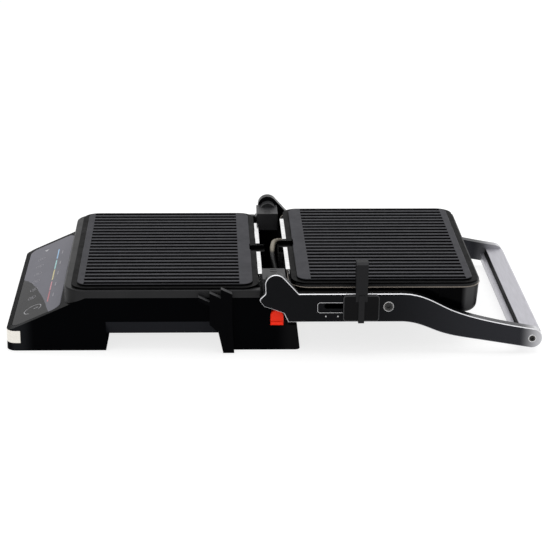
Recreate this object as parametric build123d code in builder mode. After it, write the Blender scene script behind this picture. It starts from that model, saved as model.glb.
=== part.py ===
"""Contact grill laid open flat: a sloping touch panel, two ribbed plates, a lid carried on two arms.

X runs across the grill, Y from the front panel to the handle, Z up. The origin is on the
table, under the hinge axis, halfway between the two arms. All sizes are in millimetres.
"""

import os
from math import atan, cos, radians, sin, tan

from build123d import *

os.makedirs("parts", exist_ok=True)

# Stance of the whole grill
hinge_z = 88.0
base_front_y = -329.0
base_rear_y = 31.0
foot_height = 0.8
side_gap = 0.3

# Lower housing
body_half = 145.0
front_corner_r = 12.0
rear_corner_r = 6.0
deck_z = 70.0
slope_foot_z = 28.0
front_step = 5.0
slope_top_inset = 27.0
belly_z = 20.5
belly_edge_z = 38.0
belly_tuck = 8.0
front_block_rear_y = -207.0
rear_block_front_y = -52.0
leg_lean = 4.0
bay_floor_z = 32.0
bay_wall = 7.0
control_wall = 9.0
rear_shelf_y = 13.0
rear_shelf_z = 33.0
cover_thick = 2.4
post_r = 5.0
post_wall_gap = 4.5
post_end_inset = 20.0
foot_pad_r = 9.0

# Frame round the lower plate
frame_overhang = 2.0
frame_drop = 6.0
frame_front_rim = 9.0
frame_cut_depth = 40.0
frame_rear_y = -17.0
frame_top = 79.6
frame_corner_r = 26.0
frame_edge_r = 2.0
frame_ledge = 6.5

# Grill plates
frame_rim = 3.0
plate_near_y = 20.0
plate_far_y = 249.0
plate_corner_r = 20.0
plate_lip = 2.2
plate_rise = 2.2
plate_depth = 9.0
land_inset = 7.0
rib_pitch = 12.0
rib_count = 22
rib_length = 190.0
rib_start_y = 43.5
groove_top = 7.6
groove_floor = 4.6
groove_depth = 5.0
spout_half = 13.5
spout_tip_y = 8.8
spout_depth = 7.0
spout_wall = 2.5
lid_lift = 6.0

# Pans, heat shields, heating elements and sensors under both plates
sheet = 1.2
pan_margin = 18.0
pan_post_inset = 25.0
pan_near_y = 27.0
pan_far_y = 240.0
pan_drop = 18.0
pan_side = 11.0
shield_start = 16.0
shield_end = 98.0
shield_flange = 5.0
shield_below_land = 1.5
heater_r = 3.3
heater_gap = 1.0
heater_margin = 30.0
heater_near_y = 62.0
heater_far_y = 216.0
heater_tail_y = 36.0
heater_tail_x = 20.0
heater_bend_r = 14.0
sensor_r = 8.0
saddle = 8.0
saddle_inset = 35.0
shield_wall_gap = 0.7

# Arms
arm_gap = 1.0
arm_thick = 12.0
hub_r = 13.0
hub_rise = 3.0
hub_slope = 48.0
arm_top = 79.4
arm_bottom = 42.7
arm_straight_y = 152.0
arm_end = (314.5, 20.4)
arm_end_r = 12.5
arm_end_slope = 9.3
arm_low_points = ((200.8, 28.9), (245.0, 19.4))
arm_high_points = ((259.8, 43.8), (211.4, 59.3))
arm_heel = ((-12.4, 79.5), (-20.5, 71.5), (-14.0, 63.0), (10.0, 54.4), (15.5, 42.7))
heel_r = 4.0
arm_edge = 0.9
pin_r = 4.0
pin_depth = 8.0
pin_length = 36.0
running_gap = 0.05

# Lid
lid_inset = 0.6
lid_near_y = 17.0
lid_far_y = 251.5
lid_bottom = 45.5
lid_shell_top = 82.0
lid_corner_r = 24.0
lid_draft = 4.0
lid_round = 10.0
lid_wall = 6.0
lid_floor = 3.0
pivot_y = 137.0
pivot_z = 62.8
pivot_boss_r = 9.0
pivot_reach = 14.0
pivot_head_r = 6.0
pivot_head = 3.0

# Handle between the arm ends
handle_front = 19.0
handle_back = 12.0
handle_rise = 7.8
handle_drop = 10.4
handle_strip_rise = 0.1
handle_groove_drop = 4.4
handle_strip_width = 5.5
handle_groove_width = 2.0
handle_edge = 3.0
handle_screw_r = 4.2

# Height slider and the stop steps that it lands on
slot_z = 63.0
slot_height = 6.5
slot_recess = 1.5
slot_recess_height = 13.0
slider_y = 103.5
slider_half_y = 22.0
slider_low = 45.3
slider_high = 79.0
slider_thick = 4.7
slider_corner_r = 4.0
slider_pin_r = 2.95
stop_pitch = 13.8
stop_count = 3
tab_half_y = 7.2
tab_offset = 3.0
tab_reach = 5.6
tab_top = 121.0
tab_bevel = 3.0
grip_half_y = 3.6
grip_low = 43.6
keeper_thick = 2.0
keeper_half_y = 9.0
keeper_half_z = 5.5
step_thick = 8.5
step_top = 73.9
step_rise = 5.1
step_fall = 6.6
step_offset = 2.6
step_ledge = 5.0
step_leg_front_y = -69.4
step_leg_z = 27.5
step_foot_front_y = -63.5
step_foot_rear_y = -50.0

# Hinge towers, tray and small parts
tower_width = 38.5
tower_front_y = -15.5
tower_rear_y = 12.5
tower_top = 93.0
tower_boss_r = 10.5
tower_boss_width = 13.0
tower_slit = (9.0, 1.6, 1.5)
tray_gap = 2.5
tray_grip = (60.0, 8.0)
tray_front_y = -46.0
tray_floor_z = 5.0
tray_top_z = 27.0
tray_wall = 1.8
tray_rear_low = 30.2
tray_rear_high = 27.8
button_y = 2.2
button_half = 8.0
button_low = 34.0
button_high = 54.0
button_out = 4.0
button_depth = 10.5
button_travel = 3.0
spring_r = 3.0
spring_wire_r = 0.5
spring_turns = 5
spring_room = 15.0
latch_y = 206.5
latch_half = 6.5
latch_height = 13.0
latch_depth = 9.0
latch_travel = 2.5
latch_gap = 1.0
glass_margin = 7.0
glass_rear_gap = 5.62
glass_start = 0.8
glass_thick = 3.0
glass_corner_r = 12.0
window_margin = 10.0
trim_low = 10.5
trim_high = 26.8
trim_thick = 1.6
trim_wrap = 17.5
board_thick = 1.6
board_spacer = 5.0
gland_inset = 19.0
gland_z = 16.0
gland_r = 6.5
gland_bore_r = 3.8
gland_flange_r = 9.0
gland_flange = 3.4
screw_r = 1.7
screw_head_r = 3.2
screw_head = 1.4
sleeve_r = 3.2
sleeve_points = (
    (-58.0, 17.1, 72.0),
    (-58.0, 7.0, 72.0),
    (-36.0, 3.0, 74.5),
    (-12.0, 1.5, 68.0),
    (14.0, 2.0, 56.0),
    (34.0, 5.0, 45.0),
    (45.0, 18.5, 41.5),
    (45.0, 18.5, 33.05),
)
sleeve_bends = (5.0, 8.0, 12.0, 12.0, 8.0, 4.5)
board_half = 100.0
board_width = 38.0
spacer_r = 3.0
spacer_inset = 6.0
chip = (24.0, 14.0, 2.5)
power_board_x = 0.0
power_board_inset = 33.0
power_board_half = 40.0
power_board_width = 44.0
power_board_lift = 4.0
relay = (20.0, 15.0, 8.0)
relay_offset = (24.0, 10.0)
capacitor_r = 5.0
capacitor_offset = (17.0, 7.0, 8.0)
vent = (24.0, 3.0)
vent_pitch = 9.0
vent_count = 12
vent_inset = 26.0
foot_inset = 33.0
foot_front_inset = 24.0
foot_rear_y = 12.0

frame_front_y = -plate_far_y - frame_front_rim
slope_foot_y = base_front_y + front_step
slope_top_y = frame_front_y + slope_top_inset
slope_rise = (deck_z - slope_foot_z) / (slope_top_y - slope_foot_y)
slope_plane = Plane(
    origin=(0, slope_foot_y, slope_foot_z),
    x_dir=(1, 0, 0),
    z_dir=(0, -sin(atan(slope_rise)), cos(atan(slope_rise))),
)
slope_axis = Axis((0, 0, 0), slope_plane.z_dir)
frame_half = body_half + frame_overhang
plate_half = frame_half - frame_rim
pan_half = plate_half - pan_margin
pan_post_run = pan_far_y - pan_near_y - 2 * pan_post_inset
heater_half = pan_half - heater_margin
lid_half = body_half - lid_inset
arm_inner = frame_half + arm_gap
tab_inner = arm_inner + tab_offset
tab_outer = arm_inner + arm_thick + tab_reach
step_outer = frame_half + step_thick
tower_inner = body_half - tower_width
tower_boss_inner = frame_half - tower_boss_width
tray_half = tower_inner - tray_gap
screw_post_x = body_half - control_wall - post_wall_gap
glass_half = body_half - glass_margin
gland_x = gland_inset - body_half
foot_x = body_half - foot_inset
foot_front_y = base_front_y + foot_front_inset
power_board_y = front_block_rear_y - power_board_inset
post_run = front_block_rear_y - base_front_y - 2 * post_end_inset
shield_wall_y = -frame_rear_y + shield_wall_gap
shield_near_y = plate_near_y - side_gap
lower_land = frame_top + side_gap + plate_lip + plate_rise
upper_land = lower_land + lid_lift
lid_frame_top = frame_top + lid_lift
upper_spout_z = upper_land - plate_rise - spout_depth
arm_outer = arm_inner + arm_thick
glass_length = (frame_front_y - slope_foot_y) / cos(atan(slope_rise)) - glass_start - glass_rear_gap
glass_centre = glass_start + glass_length / 2
stop_travel = stop_pitch * stop_count
handle_strip_y = arm_end[0] - handle_front
handle_groove_y = handle_strip_y + handle_strip_width
handle_plate_y = handle_groove_y + handle_groove_width
handle_back_y = arm_end[0] + handle_back
handle_top_z = arm_end[1] + handle_rise
handle_floor_z = arm_end[1] - handle_drop
handle_strip_z = arm_end[1] + handle_strip_rise
handle_groove_floor = arm_end[1] - handle_groove_drop
step_first_y = -(slider_y - stop_pitch) - stop_pitch / 2 + step_offset


def save(solid, name):
    """Label one finished piece and write its file."""
    solid.label = name
    export_step(solid, f"parts/{name}.step")


def deck_line(y):
    """Height of the deck at y: it slopes up from the front and then runs level."""
    return min(deck_z, slope_foot_z + (y - slope_foot_y) * slope_rise)


def rounded_plan(half, front_y, rear_y, front_r, rear_r):
    """Plan outline, as wide as twice half, with its front and rear corners rounded apart."""
    with BuildSketch(mode=Mode.PRIVATE) as plan:
        with BuildLine():
            Polyline((-half, front_y), (half, front_y), (half, rear_y), (-half, rear_y), close=True)
        make_face()
        fillet(plan.vertices().group_by(Axis.Y)[0], front_r)
        if rear_r:
            fillet(plan.vertices().group_by(Axis.Y)[-1], rear_r)
    return plan.sketch


def side_face(points):
    """Closed outline in the side view, given as (y, z) corners."""
    with BuildSketch(mode=Mode.PRIVATE) as outline:
        with BuildLine():
            Polyline(*points, close=True)
        make_face()
    return outline.sketch


def trim_band(half, front_y, wrap):
    """Plan of the band round the front corners, from an outer outline in to the trim's back."""
    inner_half = body_half - trim_thick
    inner_front = base_front_y + trim_thick
    long_rear = base_front_y + 4 * trim_wrap
    with BuildSketch(mode=Mode.PRIVATE) as band:
        add(rounded_plan(half, front_y, long_rear, front_corner_r, 0))
        add(
            rounded_plan(inner_half, inner_front, long_rear + 1, front_corner_r - trim_thick, 0),
            mode=Mode.SUBTRACT,
        )
        with Locations((0, base_front_y + wrap / 2 - 1)):
            Rectangle(3 * half, wrap + 2, mode=Mode.INTERSECT)
    return band.sketch


# Lower housing: a side outline cut to the rounded plan, then hollowed
with BuildPart() as base_housing:
    with BuildSketch(Plane.YZ.offset(-body_half)):
        add(
            side_face(
                (
                    (base_front_y, foot_height),
                    (base_front_y, trim_high),
                    (slope_foot_y, slope_foot_z),
                    (slope_top_y, deck_z),
                    (rear_shelf_y, deck_z),
                    (rear_shelf_y, rear_shelf_z),
                    (base_rear_y - leg_lean, rear_shelf_z),
                    (base_rear_y, foot_height),
                    (rear_block_front_y, foot_height),
                    (rear_block_front_y - leg_lean, belly_z),
                    (front_block_rear_y + leg_lean, belly_z),
                    (front_block_rear_y, foot_height),
                )
            )
        )
    extrude(amount=2 * body_half)
    with BuildSketch(Plane.XY):
        add(rounded_plan(body_half, base_front_y, base_rear_y, front_corner_r, rear_corner_r))
    extrude(amount=deck_z, mode=Mode.INTERSECT)
    # Tucked lower edges of the belly
    for side in (-1, 1):
        with BuildSketch(Plane.XZ.offset(-front_block_rear_y)):
            with BuildLine():
                Polyline(
                    (side * (body_half + 1), belly_edge_z),
                    (side * body_half, belly_edge_z),
                    (side * (body_half - belly_tuck), belly_z - 1),
                    (side * (body_half + 1), belly_z - 1),
                    close=True,
                )
            make_face()
        extrude(amount=-(rear_block_front_y - front_block_rear_y), mode=Mode.SUBTRACT)
    # Bay of the heater, open upwards, with four posts for the pan
    with BuildSketch(Plane.XY.offset(bay_floor_z)):
        add(rounded_plan(pan_half + 5, -plate_far_y + bay_wall, -plate_near_y - 1, 12, 12))
    extrude(amount=deck_z, mode=Mode.SUBTRACT)
    with BuildSketch(Plane.XY.offset(bay_floor_z)):
        with Locations((0, -(pan_near_y + pan_far_y) / 2)):
            with GridLocations(2 * heater_half, pan_post_run, 2, 2):
                Circle(post_r)
    extrude(amount=lower_land - plate_depth - pan_drop - bay_floor_z)
    # Bay behind the touch panel, open downwards
    with BuildSketch(Plane.YZ.offset(-body_half + control_wall)):
        add(
            side_face(
                (
                    (base_front_y + control_wall, foot_height - 1),
                    (base_front_y + control_wall, slope_foot_z - 4),
                    (frame_front_y - 2, deck_line(frame_front_y) - control_wall),
                    (frame_front_y - 2, belly_z - 3),
                    (front_block_rear_y - control_wall, belly_z - 3),
                    (front_block_rear_y - control_wall, foot_height - 1),
                )
            )
        )
    extrude(amount=2 * (body_half - control_wall), mode=Mode.SUBTRACT)
    # Seat of the glass in the slope, with a window under it
    with BuildSketch(slope_plane):
        with Locations((0, glass_centre)):
            RectangleRounded(2 * (glass_half + side_gap), glass_length + 2 * side_gap, glass_corner_r)
    extrude(amount=-glass_thick, mode=Mode.SUBTRACT)
    with BuildSketch(slope_plane):
        with Locations((0, glass_centre)):
            RectangleRounded(2 * (glass_half - window_margin), glass_length - 2 * window_margin, 5)
    extrude(amount=-20, mode=Mode.SUBTRACT)
    # Posts of the bottom screws
    with BuildSketch(Plane.XY.offset(foot_height + cover_thick)):
        with Locations((0, (base_front_y + front_block_rear_y) / 2)):
            with GridLocations(2 * screw_post_x, post_run, 2, 2):
                Circle(post_r)
    extrude(amount=belly_z - foot_height - cover_thick - 1)
    # Step that takes the silver trim
    with BuildSketch(Plane.XY.offset(trim_low)):
        add(trim_band(body_half + 1, base_front_y - 1, trim_wrap + side_gap))
    extrude(amount=trim_high - trim_low, mode=Mode.SUBTRACT)
    # Grease pit between the plates, and the tray's way out to the rear
    with BuildSketch(Plane.YZ.offset(-tower_inner)):
        add(
            side_face(
                (
                    (tower_front_y + 1.5, tray_top_z - 1),
                    (rear_shelf_y, tray_top_z - 1),
                    (rear_shelf_y, deck_z + 1),
                    (tower_front_y + 1.5, deck_z + 1),
                )
            )
        )
    extrude(amount=2 * tower_inner, mode=Mode.SUBTRACT)
    with BuildSketch(Plane.YZ.offset(-tray_half - side_gap)):
        add(
            side_face(
                (
                    (tray_front_y - side_gap, tray_floor_z - side_gap),
                    (base_rear_y + 1, tray_floor_z - side_gap),
                    (base_rear_y + 1, tray_top_z + side_gap),
                    (tray_front_y - side_gap, tray_top_z + side_gap),
                )
            )
        )
    extrude(amount=2 * (tray_half + side_gap), mode=Mode.SUBTRACT)
    # Pocket of the red button and its spring on the right side
    with BuildSketch(Plane.YZ.offset(body_half + 1)):
        with Locations((button_y, (button_low + button_high) / 2)):
            Rectangle(2 * (button_half + side_gap), button_high - button_low + 2 * side_gap)
    extrude(amount=-(1 + button_depth + button_travel + side_gap), mode=Mode.SUBTRACT)
    with BuildSketch(Plane.YZ.offset(body_half)):
        with Locations((button_y, (button_low + button_high) / 2)):
            Circle(spring_r + 1.2)
    extrude(amount=-(button_depth + spring_room), mode=Mode.SUBTRACT)
    # Pocket of the plate latch on the left side
    with BuildSketch(Plane.YZ.offset(-body_half - 1)):
        with Locations((-latch_y, deck_z - latch_height / 2)):
            Rectangle(2 * (latch_half + side_gap), latch_height + 0.1)
    extrude(amount=1 + latch_depth + latch_travel + side_gap, mode=Mode.SUBTRACT)
    # Hole and seat of the lead gland
    with BuildSketch(Plane.XZ.offset(-base_rear_y - 1)):
        with Locations((gland_x, gland_z)):
            Circle(gland_r)
    extrude(amount=14, mode=Mode.SUBTRACT)
    with BuildSketch(Plane.XZ.offset(-base_rear_y - 1)):
        with Locations((gland_x, gland_z)):
            Circle(gland_flange_r)
    extrude(amount=1 + gland_flange, mode=Mode.SUBTRACT)
save(base_housing.part, "base_housing")

# Grey frame round the lower plate, deeper at the front where it meets the slope
with BuildPart() as top_frame:
    with BuildSketch(Plane.XY.offset(deck_line(frame_front_y) - frame_drop)):
        add(rounded_plan(frame_half, frame_front_y, frame_rear_y, frame_corner_r, 2))
    extrude(amount=frame_top - deck_line(frame_front_y) + frame_drop)
    with BuildSketch(Plane.YZ.offset(-frame_half - 1)):
        add(
            side_face(
                (
                    (frame_front_y - 8, deck_line(frame_front_y - 8)),
                    (slope_top_y, deck_z),
                    (frame_rear_y + 5, deck_z),
                    (frame_rear_y + 5, deck_z - frame_cut_depth),
                    (frame_front_y - 8, deck_z - frame_cut_depth),
                )
            )
        )
    extrude(amount=2 * frame_half + 2, mode=Mode.SUBTRACT)
    with BuildSketch(Plane.XY.offset(deck_z - 30)):
        add(
            rounded_plan(
                plate_half - frame_ledge + side_gap,
                -plate_far_y + frame_ledge - side_gap,
                frame_rear_y + 5,
                plate_corner_r - frame_ledge,
                0,
            )
        )
    extrude(amount=60, mode=Mode.SUBTRACT)
    outer_edges = top_frame.faces().sort_by(Axis.Z)[-1].edges()
    outer_edges = outer_edges.filter_by(
        lambda e: abs(e.center().X) > plate_half - 2 or e.center().Y < -plate_far_y
    ).filter_by(lambda e: e.center().Y < frame_rear_y - 4)
    fillet(outer_edges, frame_edge_r)
save(top_frame.part, "top_frame")

# Lower and upper grill plate: the same casting, turned round the hinge axis
for name, side, land in (("lower_plate", -1, lower_land), ("upper_plate", 1, upper_land)):
    near, far = sorted((side * plate_near_y, side * plate_far_y))
    with BuildPart() as plate:
        with BuildSketch(Plane.XY.offset(land - plate_rise - plate_lip)):
            with Locations((0, (near + far) / 2)):
                RectangleRounded(2 * plate_half, far - near, plate_corner_r)
        extrude(amount=plate_lip)
        with BuildSketch(Plane.XY.offset(land - plate_depth)):
            with Locations((0, (near + far) / 2)):
                RectangleRounded(
                    2 * (plate_half - land_inset), far - near - 2 * land_inset, plate_corner_r - land_inset
                )
        extrude(amount=plate_depth)
        # Grease spout over the pit
        with BuildSketch(Plane.XY.offset(land - plate_rise - spout_depth)):
            with Locations((0, side * (spout_tip_y + plate_near_y + 6) / 2)):
                RectangleRounded(2 * spout_half, plate_near_y + 6 - spout_tip_y, 3)
        extrude(amount=spout_depth)
        fillet(plate.faces().sort_by(Axis.Z)[-1].outer_wire().edges(), 1.2)
        with BuildSketch(Plane.XY.offset(land)):
            with Locations((0, side * (spout_tip_y + spout_wall + plate_near_y + 5) / 2)):
                Rectangle(2 * (spout_half - spout_wall), plate_near_y + 5 + 4 - spout_tip_y)
        extrude(amount=-plate_rise - spout_depth + spout_wall, mode=Mode.SUBTRACT)
        # Grooves between the ribs
        with BuildSketch(Plane.XZ.offset(-side * rib_start_y)):
            with Locations((0, land)):
                with GridLocations(rib_pitch, 1, rib_count + 1, 1):
                    Polygon(
                        (-groove_top / 2, 0.5),
                        (-groove_floor / 2, -groove_depth),
                        (groove_floor / 2, -groove_depth),
                        (groove_top / 2, 0.5),
                        align=None,
                    )
        extrude(amount=-side * rib_length, mode=Mode.SUBTRACT)
    save(plate.part, name)

# Pan, heat shield, heating element and sensor under each plate
for prefix, side, land, shield_foot in (
    ("lower", -1, lower_land, deck_z),
    ("upper", 1, upper_land, lid_shell_top),
):
    pan_floor = land - plate_depth - pan_drop
    pan_middle = side * (pan_near_y + pan_far_y) / 2
    pan_depth = pan_far_y - pan_near_y
    heater_z = land - plate_depth - heater_gap - heater_r
    with BuildPart() as pan:
        with BuildSketch(Plane.XY.offset(pan_floor)):
            with Locations((0, pan_middle)):
                RectangleRounded(2 * pan_half, pan_depth, 10)
        extrude(amount=pan_side)
        with BuildSketch(Plane.XY.offset(pan_floor + sheet)):
            with Locations((0, pan_middle)):
                RectangleRounded(2 * (pan_half - sheet), pan_depth - 2 * sheet, 10 - sheet)
        extrude(amount=pan_side, mode=Mode.SUBTRACT)
        with BuildSketch(Plane.XY.offset(pan_floor + sheet)):
            with Locations((0, side * (heater_near_y + heater_far_y) / 2)):
                with GridLocations(2 * heater_half, heater_far_y - heater_near_y - 2 * saddle_inset, 2, 2):
                    Rectangle(saddle, saddle)
        extrude(amount=heater_z - heater_r - pan_floor - sheet)
    save(pan.part, f"{prefix}_pan")

    with BuildPart() as shield:
        for start in (-shield_end, shield_start):
            with BuildSketch(Plane.YZ.offset(start)):
                with BuildLine():
                    Polyline(
                        (side * plate_near_y, shield_foot),
                        (side * plate_near_y, shield_foot + sheet),
                        (side * shield_wall_y, shield_foot + sheet),
                        (side * shield_wall_y, land - shield_below_land - sheet),
                        (side * shield_near_y, land - shield_below_land - sheet),
                        (side * shield_near_y, land - shield_below_land),
                        (side * (shield_near_y - shield_flange), land - shield_below_land),
                        (side * (shield_near_y - shield_flange), land - shield_below_land - sheet),
                        (side * (shield_wall_y - sheet), land - shield_below_land - sheet),
                        (side * (shield_wall_y - sheet), shield_foot),
                        close=True,
                    )
                make_face()
            extrude(amount=shield_end - shield_start)
    save(shield.part, f"{prefix}_heat_shield")

    with BuildPart() as heater:
        with BuildLine(Plane.XY.offset(heater_z)):
            FilletPolyline(
                (-heater_tail_x, side * heater_tail_y),
                (-heater_tail_x, side * heater_near_y),
                (-heater_half, side * heater_near_y),
                (-heater_half, side * heater_far_y),
                (heater_half, side * heater_far_y),
                (heater_half, side * heater_near_y),
                (heater_tail_x, side * heater_near_y),
                (heater_tail_x, side * heater_tail_y),
                radius=heater_bend_r,
            )
        with BuildSketch(Plane(origin=(-heater_tail_x, side * heater_tail_y, heater_z), z_dir=(0, side, 0))):
            Circle(heater_r)
        sweep()
    save(heater.part, f"{prefix}_heating_element")

    with BuildPart() as sensor:
        with BuildSketch(Plane.XY.offset(pan_floor + sheet)):
            with Locations((0, pan_middle)):
                Circle(sensor_r)
        extrude(amount=pan_drop - sheet - side_gap)
        with BuildSketch(Plane.XY.offset(pan_floor + sheet)):
            with Locations((0, pan_middle)):
                Rectangle(4 * sensor_r, sensor_r)
        extrude(amount=sheet)
    save(sensor.part, f"{prefix}_temperature_sensor")

# Touch panel: glass flush in the slope, with its board on spacers behind it
with BuildPart() as control_glass:
    with BuildSketch(slope_plane):
        with Locations((0, glass_centre)):
            RectangleRounded(2 * glass_half, glass_length, glass_corner_r)
    extrude(amount=-glass_thick)
    chamfer(control_glass.faces().sort_by(slope_axis)[-1].edges(), 0.5)
save(control_glass.part, "control_glass")

with BuildPart() as control_board:
    with BuildSketch(slope_plane.offset(-glass_thick - board_spacer)):
        with Locations((0, glass_centre)):
            RectangleRounded(2 * board_half, board_width, 3)
    extrude(amount=-board_thick)
    with BuildSketch(slope_plane.offset(-glass_thick)):
        with Locations((0, glass_centre)):
            with GridLocations(board_half / 2, board_width - 2 * spacer_inset, 5, 2):
                Circle(spacer_r)
    extrude(amount=-board_spacer)
    with BuildSketch(slope_plane.offset(-glass_thick - board_spacer - board_thick)):
        with Locations((-board_half / 2, glass_centre), (board_half / 3, glass_centre)):
            Rectangle(chip[0], chip[1])
    extrude(amount=-chip[2])
save(control_board.part, "control_board")

with BuildPart() as front_trim:
    with BuildSketch(Plane.XY.offset(trim_low + side_gap)):
        add(trim_band(body_half, base_front_y, trim_wrap))
    extrude(amount=trim_high - trim_low - 2 * side_gap)
save(front_trim.part, "front_trim")

# Cover under the front block, its screws and the board that it carries
cover_front = base_front_y + control_wall + side_gap
cover_rear = front_block_rear_y - control_wall - side_gap
cover_middle = (cover_front + cover_rear) / 2
post_middle = (base_front_y + front_block_rear_y) / 2
with BuildPart() as bottom_cover:
    with BuildSketch(Plane.XY.offset(foot_height)):
        with Locations((0, cover_middle)):
            Rectangle(2 * (body_half - control_wall - side_gap), cover_rear - cover_front)
    extrude(amount=cover_thick)
    with BuildSketch(Plane.XY.offset(foot_height)):
        with Locations((0, post_middle)):
            with GridLocations(2 * screw_post_x, post_run, 2, 2):
                Circle(screw_r + 0.2)
    extrude(amount=cover_thick, mode=Mode.SUBTRACT)
    with BuildSketch(Plane.XY.offset(foot_height)):
        with Locations((0, post_middle)):
            with GridLocations(2 * screw_post_x, post_run, 2, 2):
                Circle(screw_head_r + 0.2)
    extrude(amount=screw_head, mode=Mode.SUBTRACT)
    with BuildSketch(Plane.XY.offset(foot_height)):
        with Locations((0, cover_rear - vent_inset)):
            with GridLocations(vent_pitch, 1, vent_count, 1):
                SlotOverall(vent[0], vent[1], rotation=90)
    extrude(amount=cover_thick, mode=Mode.SUBTRACT)
    with BuildSketch(Plane.XY.offset(foot_height + cover_thick)):
        with Locations((power_board_x, power_board_y)):
            with GridLocations(
                2 * (power_board_half - spacer_inset), power_board_width - 2 * spacer_inset, 2, 2
            ):
                Circle(spacer_r)
    extrude(amount=power_board_lift)
save(bottom_cover.part, "bottom_cover")

with BuildPart() as bottom_screws:
    with BuildSketch(Plane.XY.offset(foot_height)):
        with Locations((0, post_middle)):
            with GridLocations(2 * screw_post_x, post_run, 2, 2):
                Circle(screw_head_r)
    extrude(amount=screw_head)
    with BuildSketch(Plane.XY.offset(foot_height + screw_head)):
        with Locations((0, post_middle)):
            with GridLocations(2 * screw_post_x, post_run, 2, 2):
                Circle(screw_r)
    extrude(amount=cover_thick - screw_head)
save(bottom_screws.part, "bottom_screws")

with BuildPart() as power_board:
    board_z = foot_height + cover_thick + power_board_lift
    with BuildSketch(Plane.XY.offset(board_z)):
        with Locations((power_board_x, power_board_y)):
            Rectangle(2 * power_board_half, power_board_width)
    extrude(amount=board_thick)
    with BuildSketch(Plane.XY.offset(board_z + board_thick)):
        with Locations((power_board_x - relay_offset[0], power_board_y)):
            with GridLocations(1, 2 * relay_offset[1], 1, 2):
                Rectangle(relay[0], relay[1])
    extrude(amount=relay[2])
    with BuildSketch(Plane.XY.offset(board_z + board_thick)):
        with Locations((power_board_x + capacitor_offset[0], power_board_y)):
            with GridLocations(2 * capacitor_offset[1], 1, 2, 1):
                Circle(capacitor_r)
    extrude(amount=capacitor_offset[2])
save(power_board.part, "power_board")

with BuildPart() as rubber_feet:
    with BuildSketch(Plane.XY):
        with Locations(*[(x, y) for x in (-foot_x, foot_x) for y in (foot_front_y, foot_rear_y)]):
            Circle(foot_pad_r)
    extrude(amount=foot_height)
save(rubber_feet.part, "rubber_feet")

with BuildPart() as cord_gland:
    with BuildSketch(Plane.XZ.offset(-base_rear_y)):
        with Locations((gland_x, gland_z)):
            Circle(gland_flange_r)
    extrude(amount=gland_flange)
    with BuildSketch(Plane.XZ.offset(-base_rear_y)):
        with Locations((gland_x, gland_z)):
            Circle(gland_r)
    extrude(amount=12)
    with BuildSketch(Plane.XZ.offset(-base_rear_y)):
        with Locations((gland_x, gland_z)):
            Circle(gland_bore_r)
    extrude(amount=12, mode=Mode.SUBTRACT)
save(cord_gland.part, "cord_gland")

# Saw-toothed steps on the right side, where the slider's tab lands
with BuildPart() as height_steps:
    teeth = []
    for step in range(stop_count):
        left = step_first_y + step * stop_pitch
        teeth += [(left, step_top + step * step_rise)]
        teeth += [(left + stop_pitch, step_top + step * step_rise - step_fall)]
    last_y = step_first_y + stop_count * stop_pitch
    first_y = step_first_y + stop_pitch
    with BuildSketch(Plane.YZ.offset(frame_half + side_gap)):
        add(
            side_face(
                [(step_first_y, step_top - step_ledge)]
                + teeth
                + [
                    (last_y, belly_edge_z + 3),
                    (step_foot_rear_y, foot_height),
                    (step_foot_front_y, foot_height),
                    (step_leg_front_y, step_leg_z),
                    (first_y, belly_edge_z),
                    (first_y, step_top - step_fall - step_ledge),
                ]
            )
        )
    extrude(amount=step_outer - frame_half - side_gap)
    with BuildSketch(Plane.YZ.offset(body_half)):
        add(
            side_face(
                (
                    (first_y, deck_z - step_ledge),
                    (last_y, deck_z - step_ledge),
                    (last_y, belly_edge_z),
                    (first_y, belly_edge_z),
                )
            )
        )
    extrude(amount=frame_half + side_gap - body_half)
save(height_steps.part, "height_steps")

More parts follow.
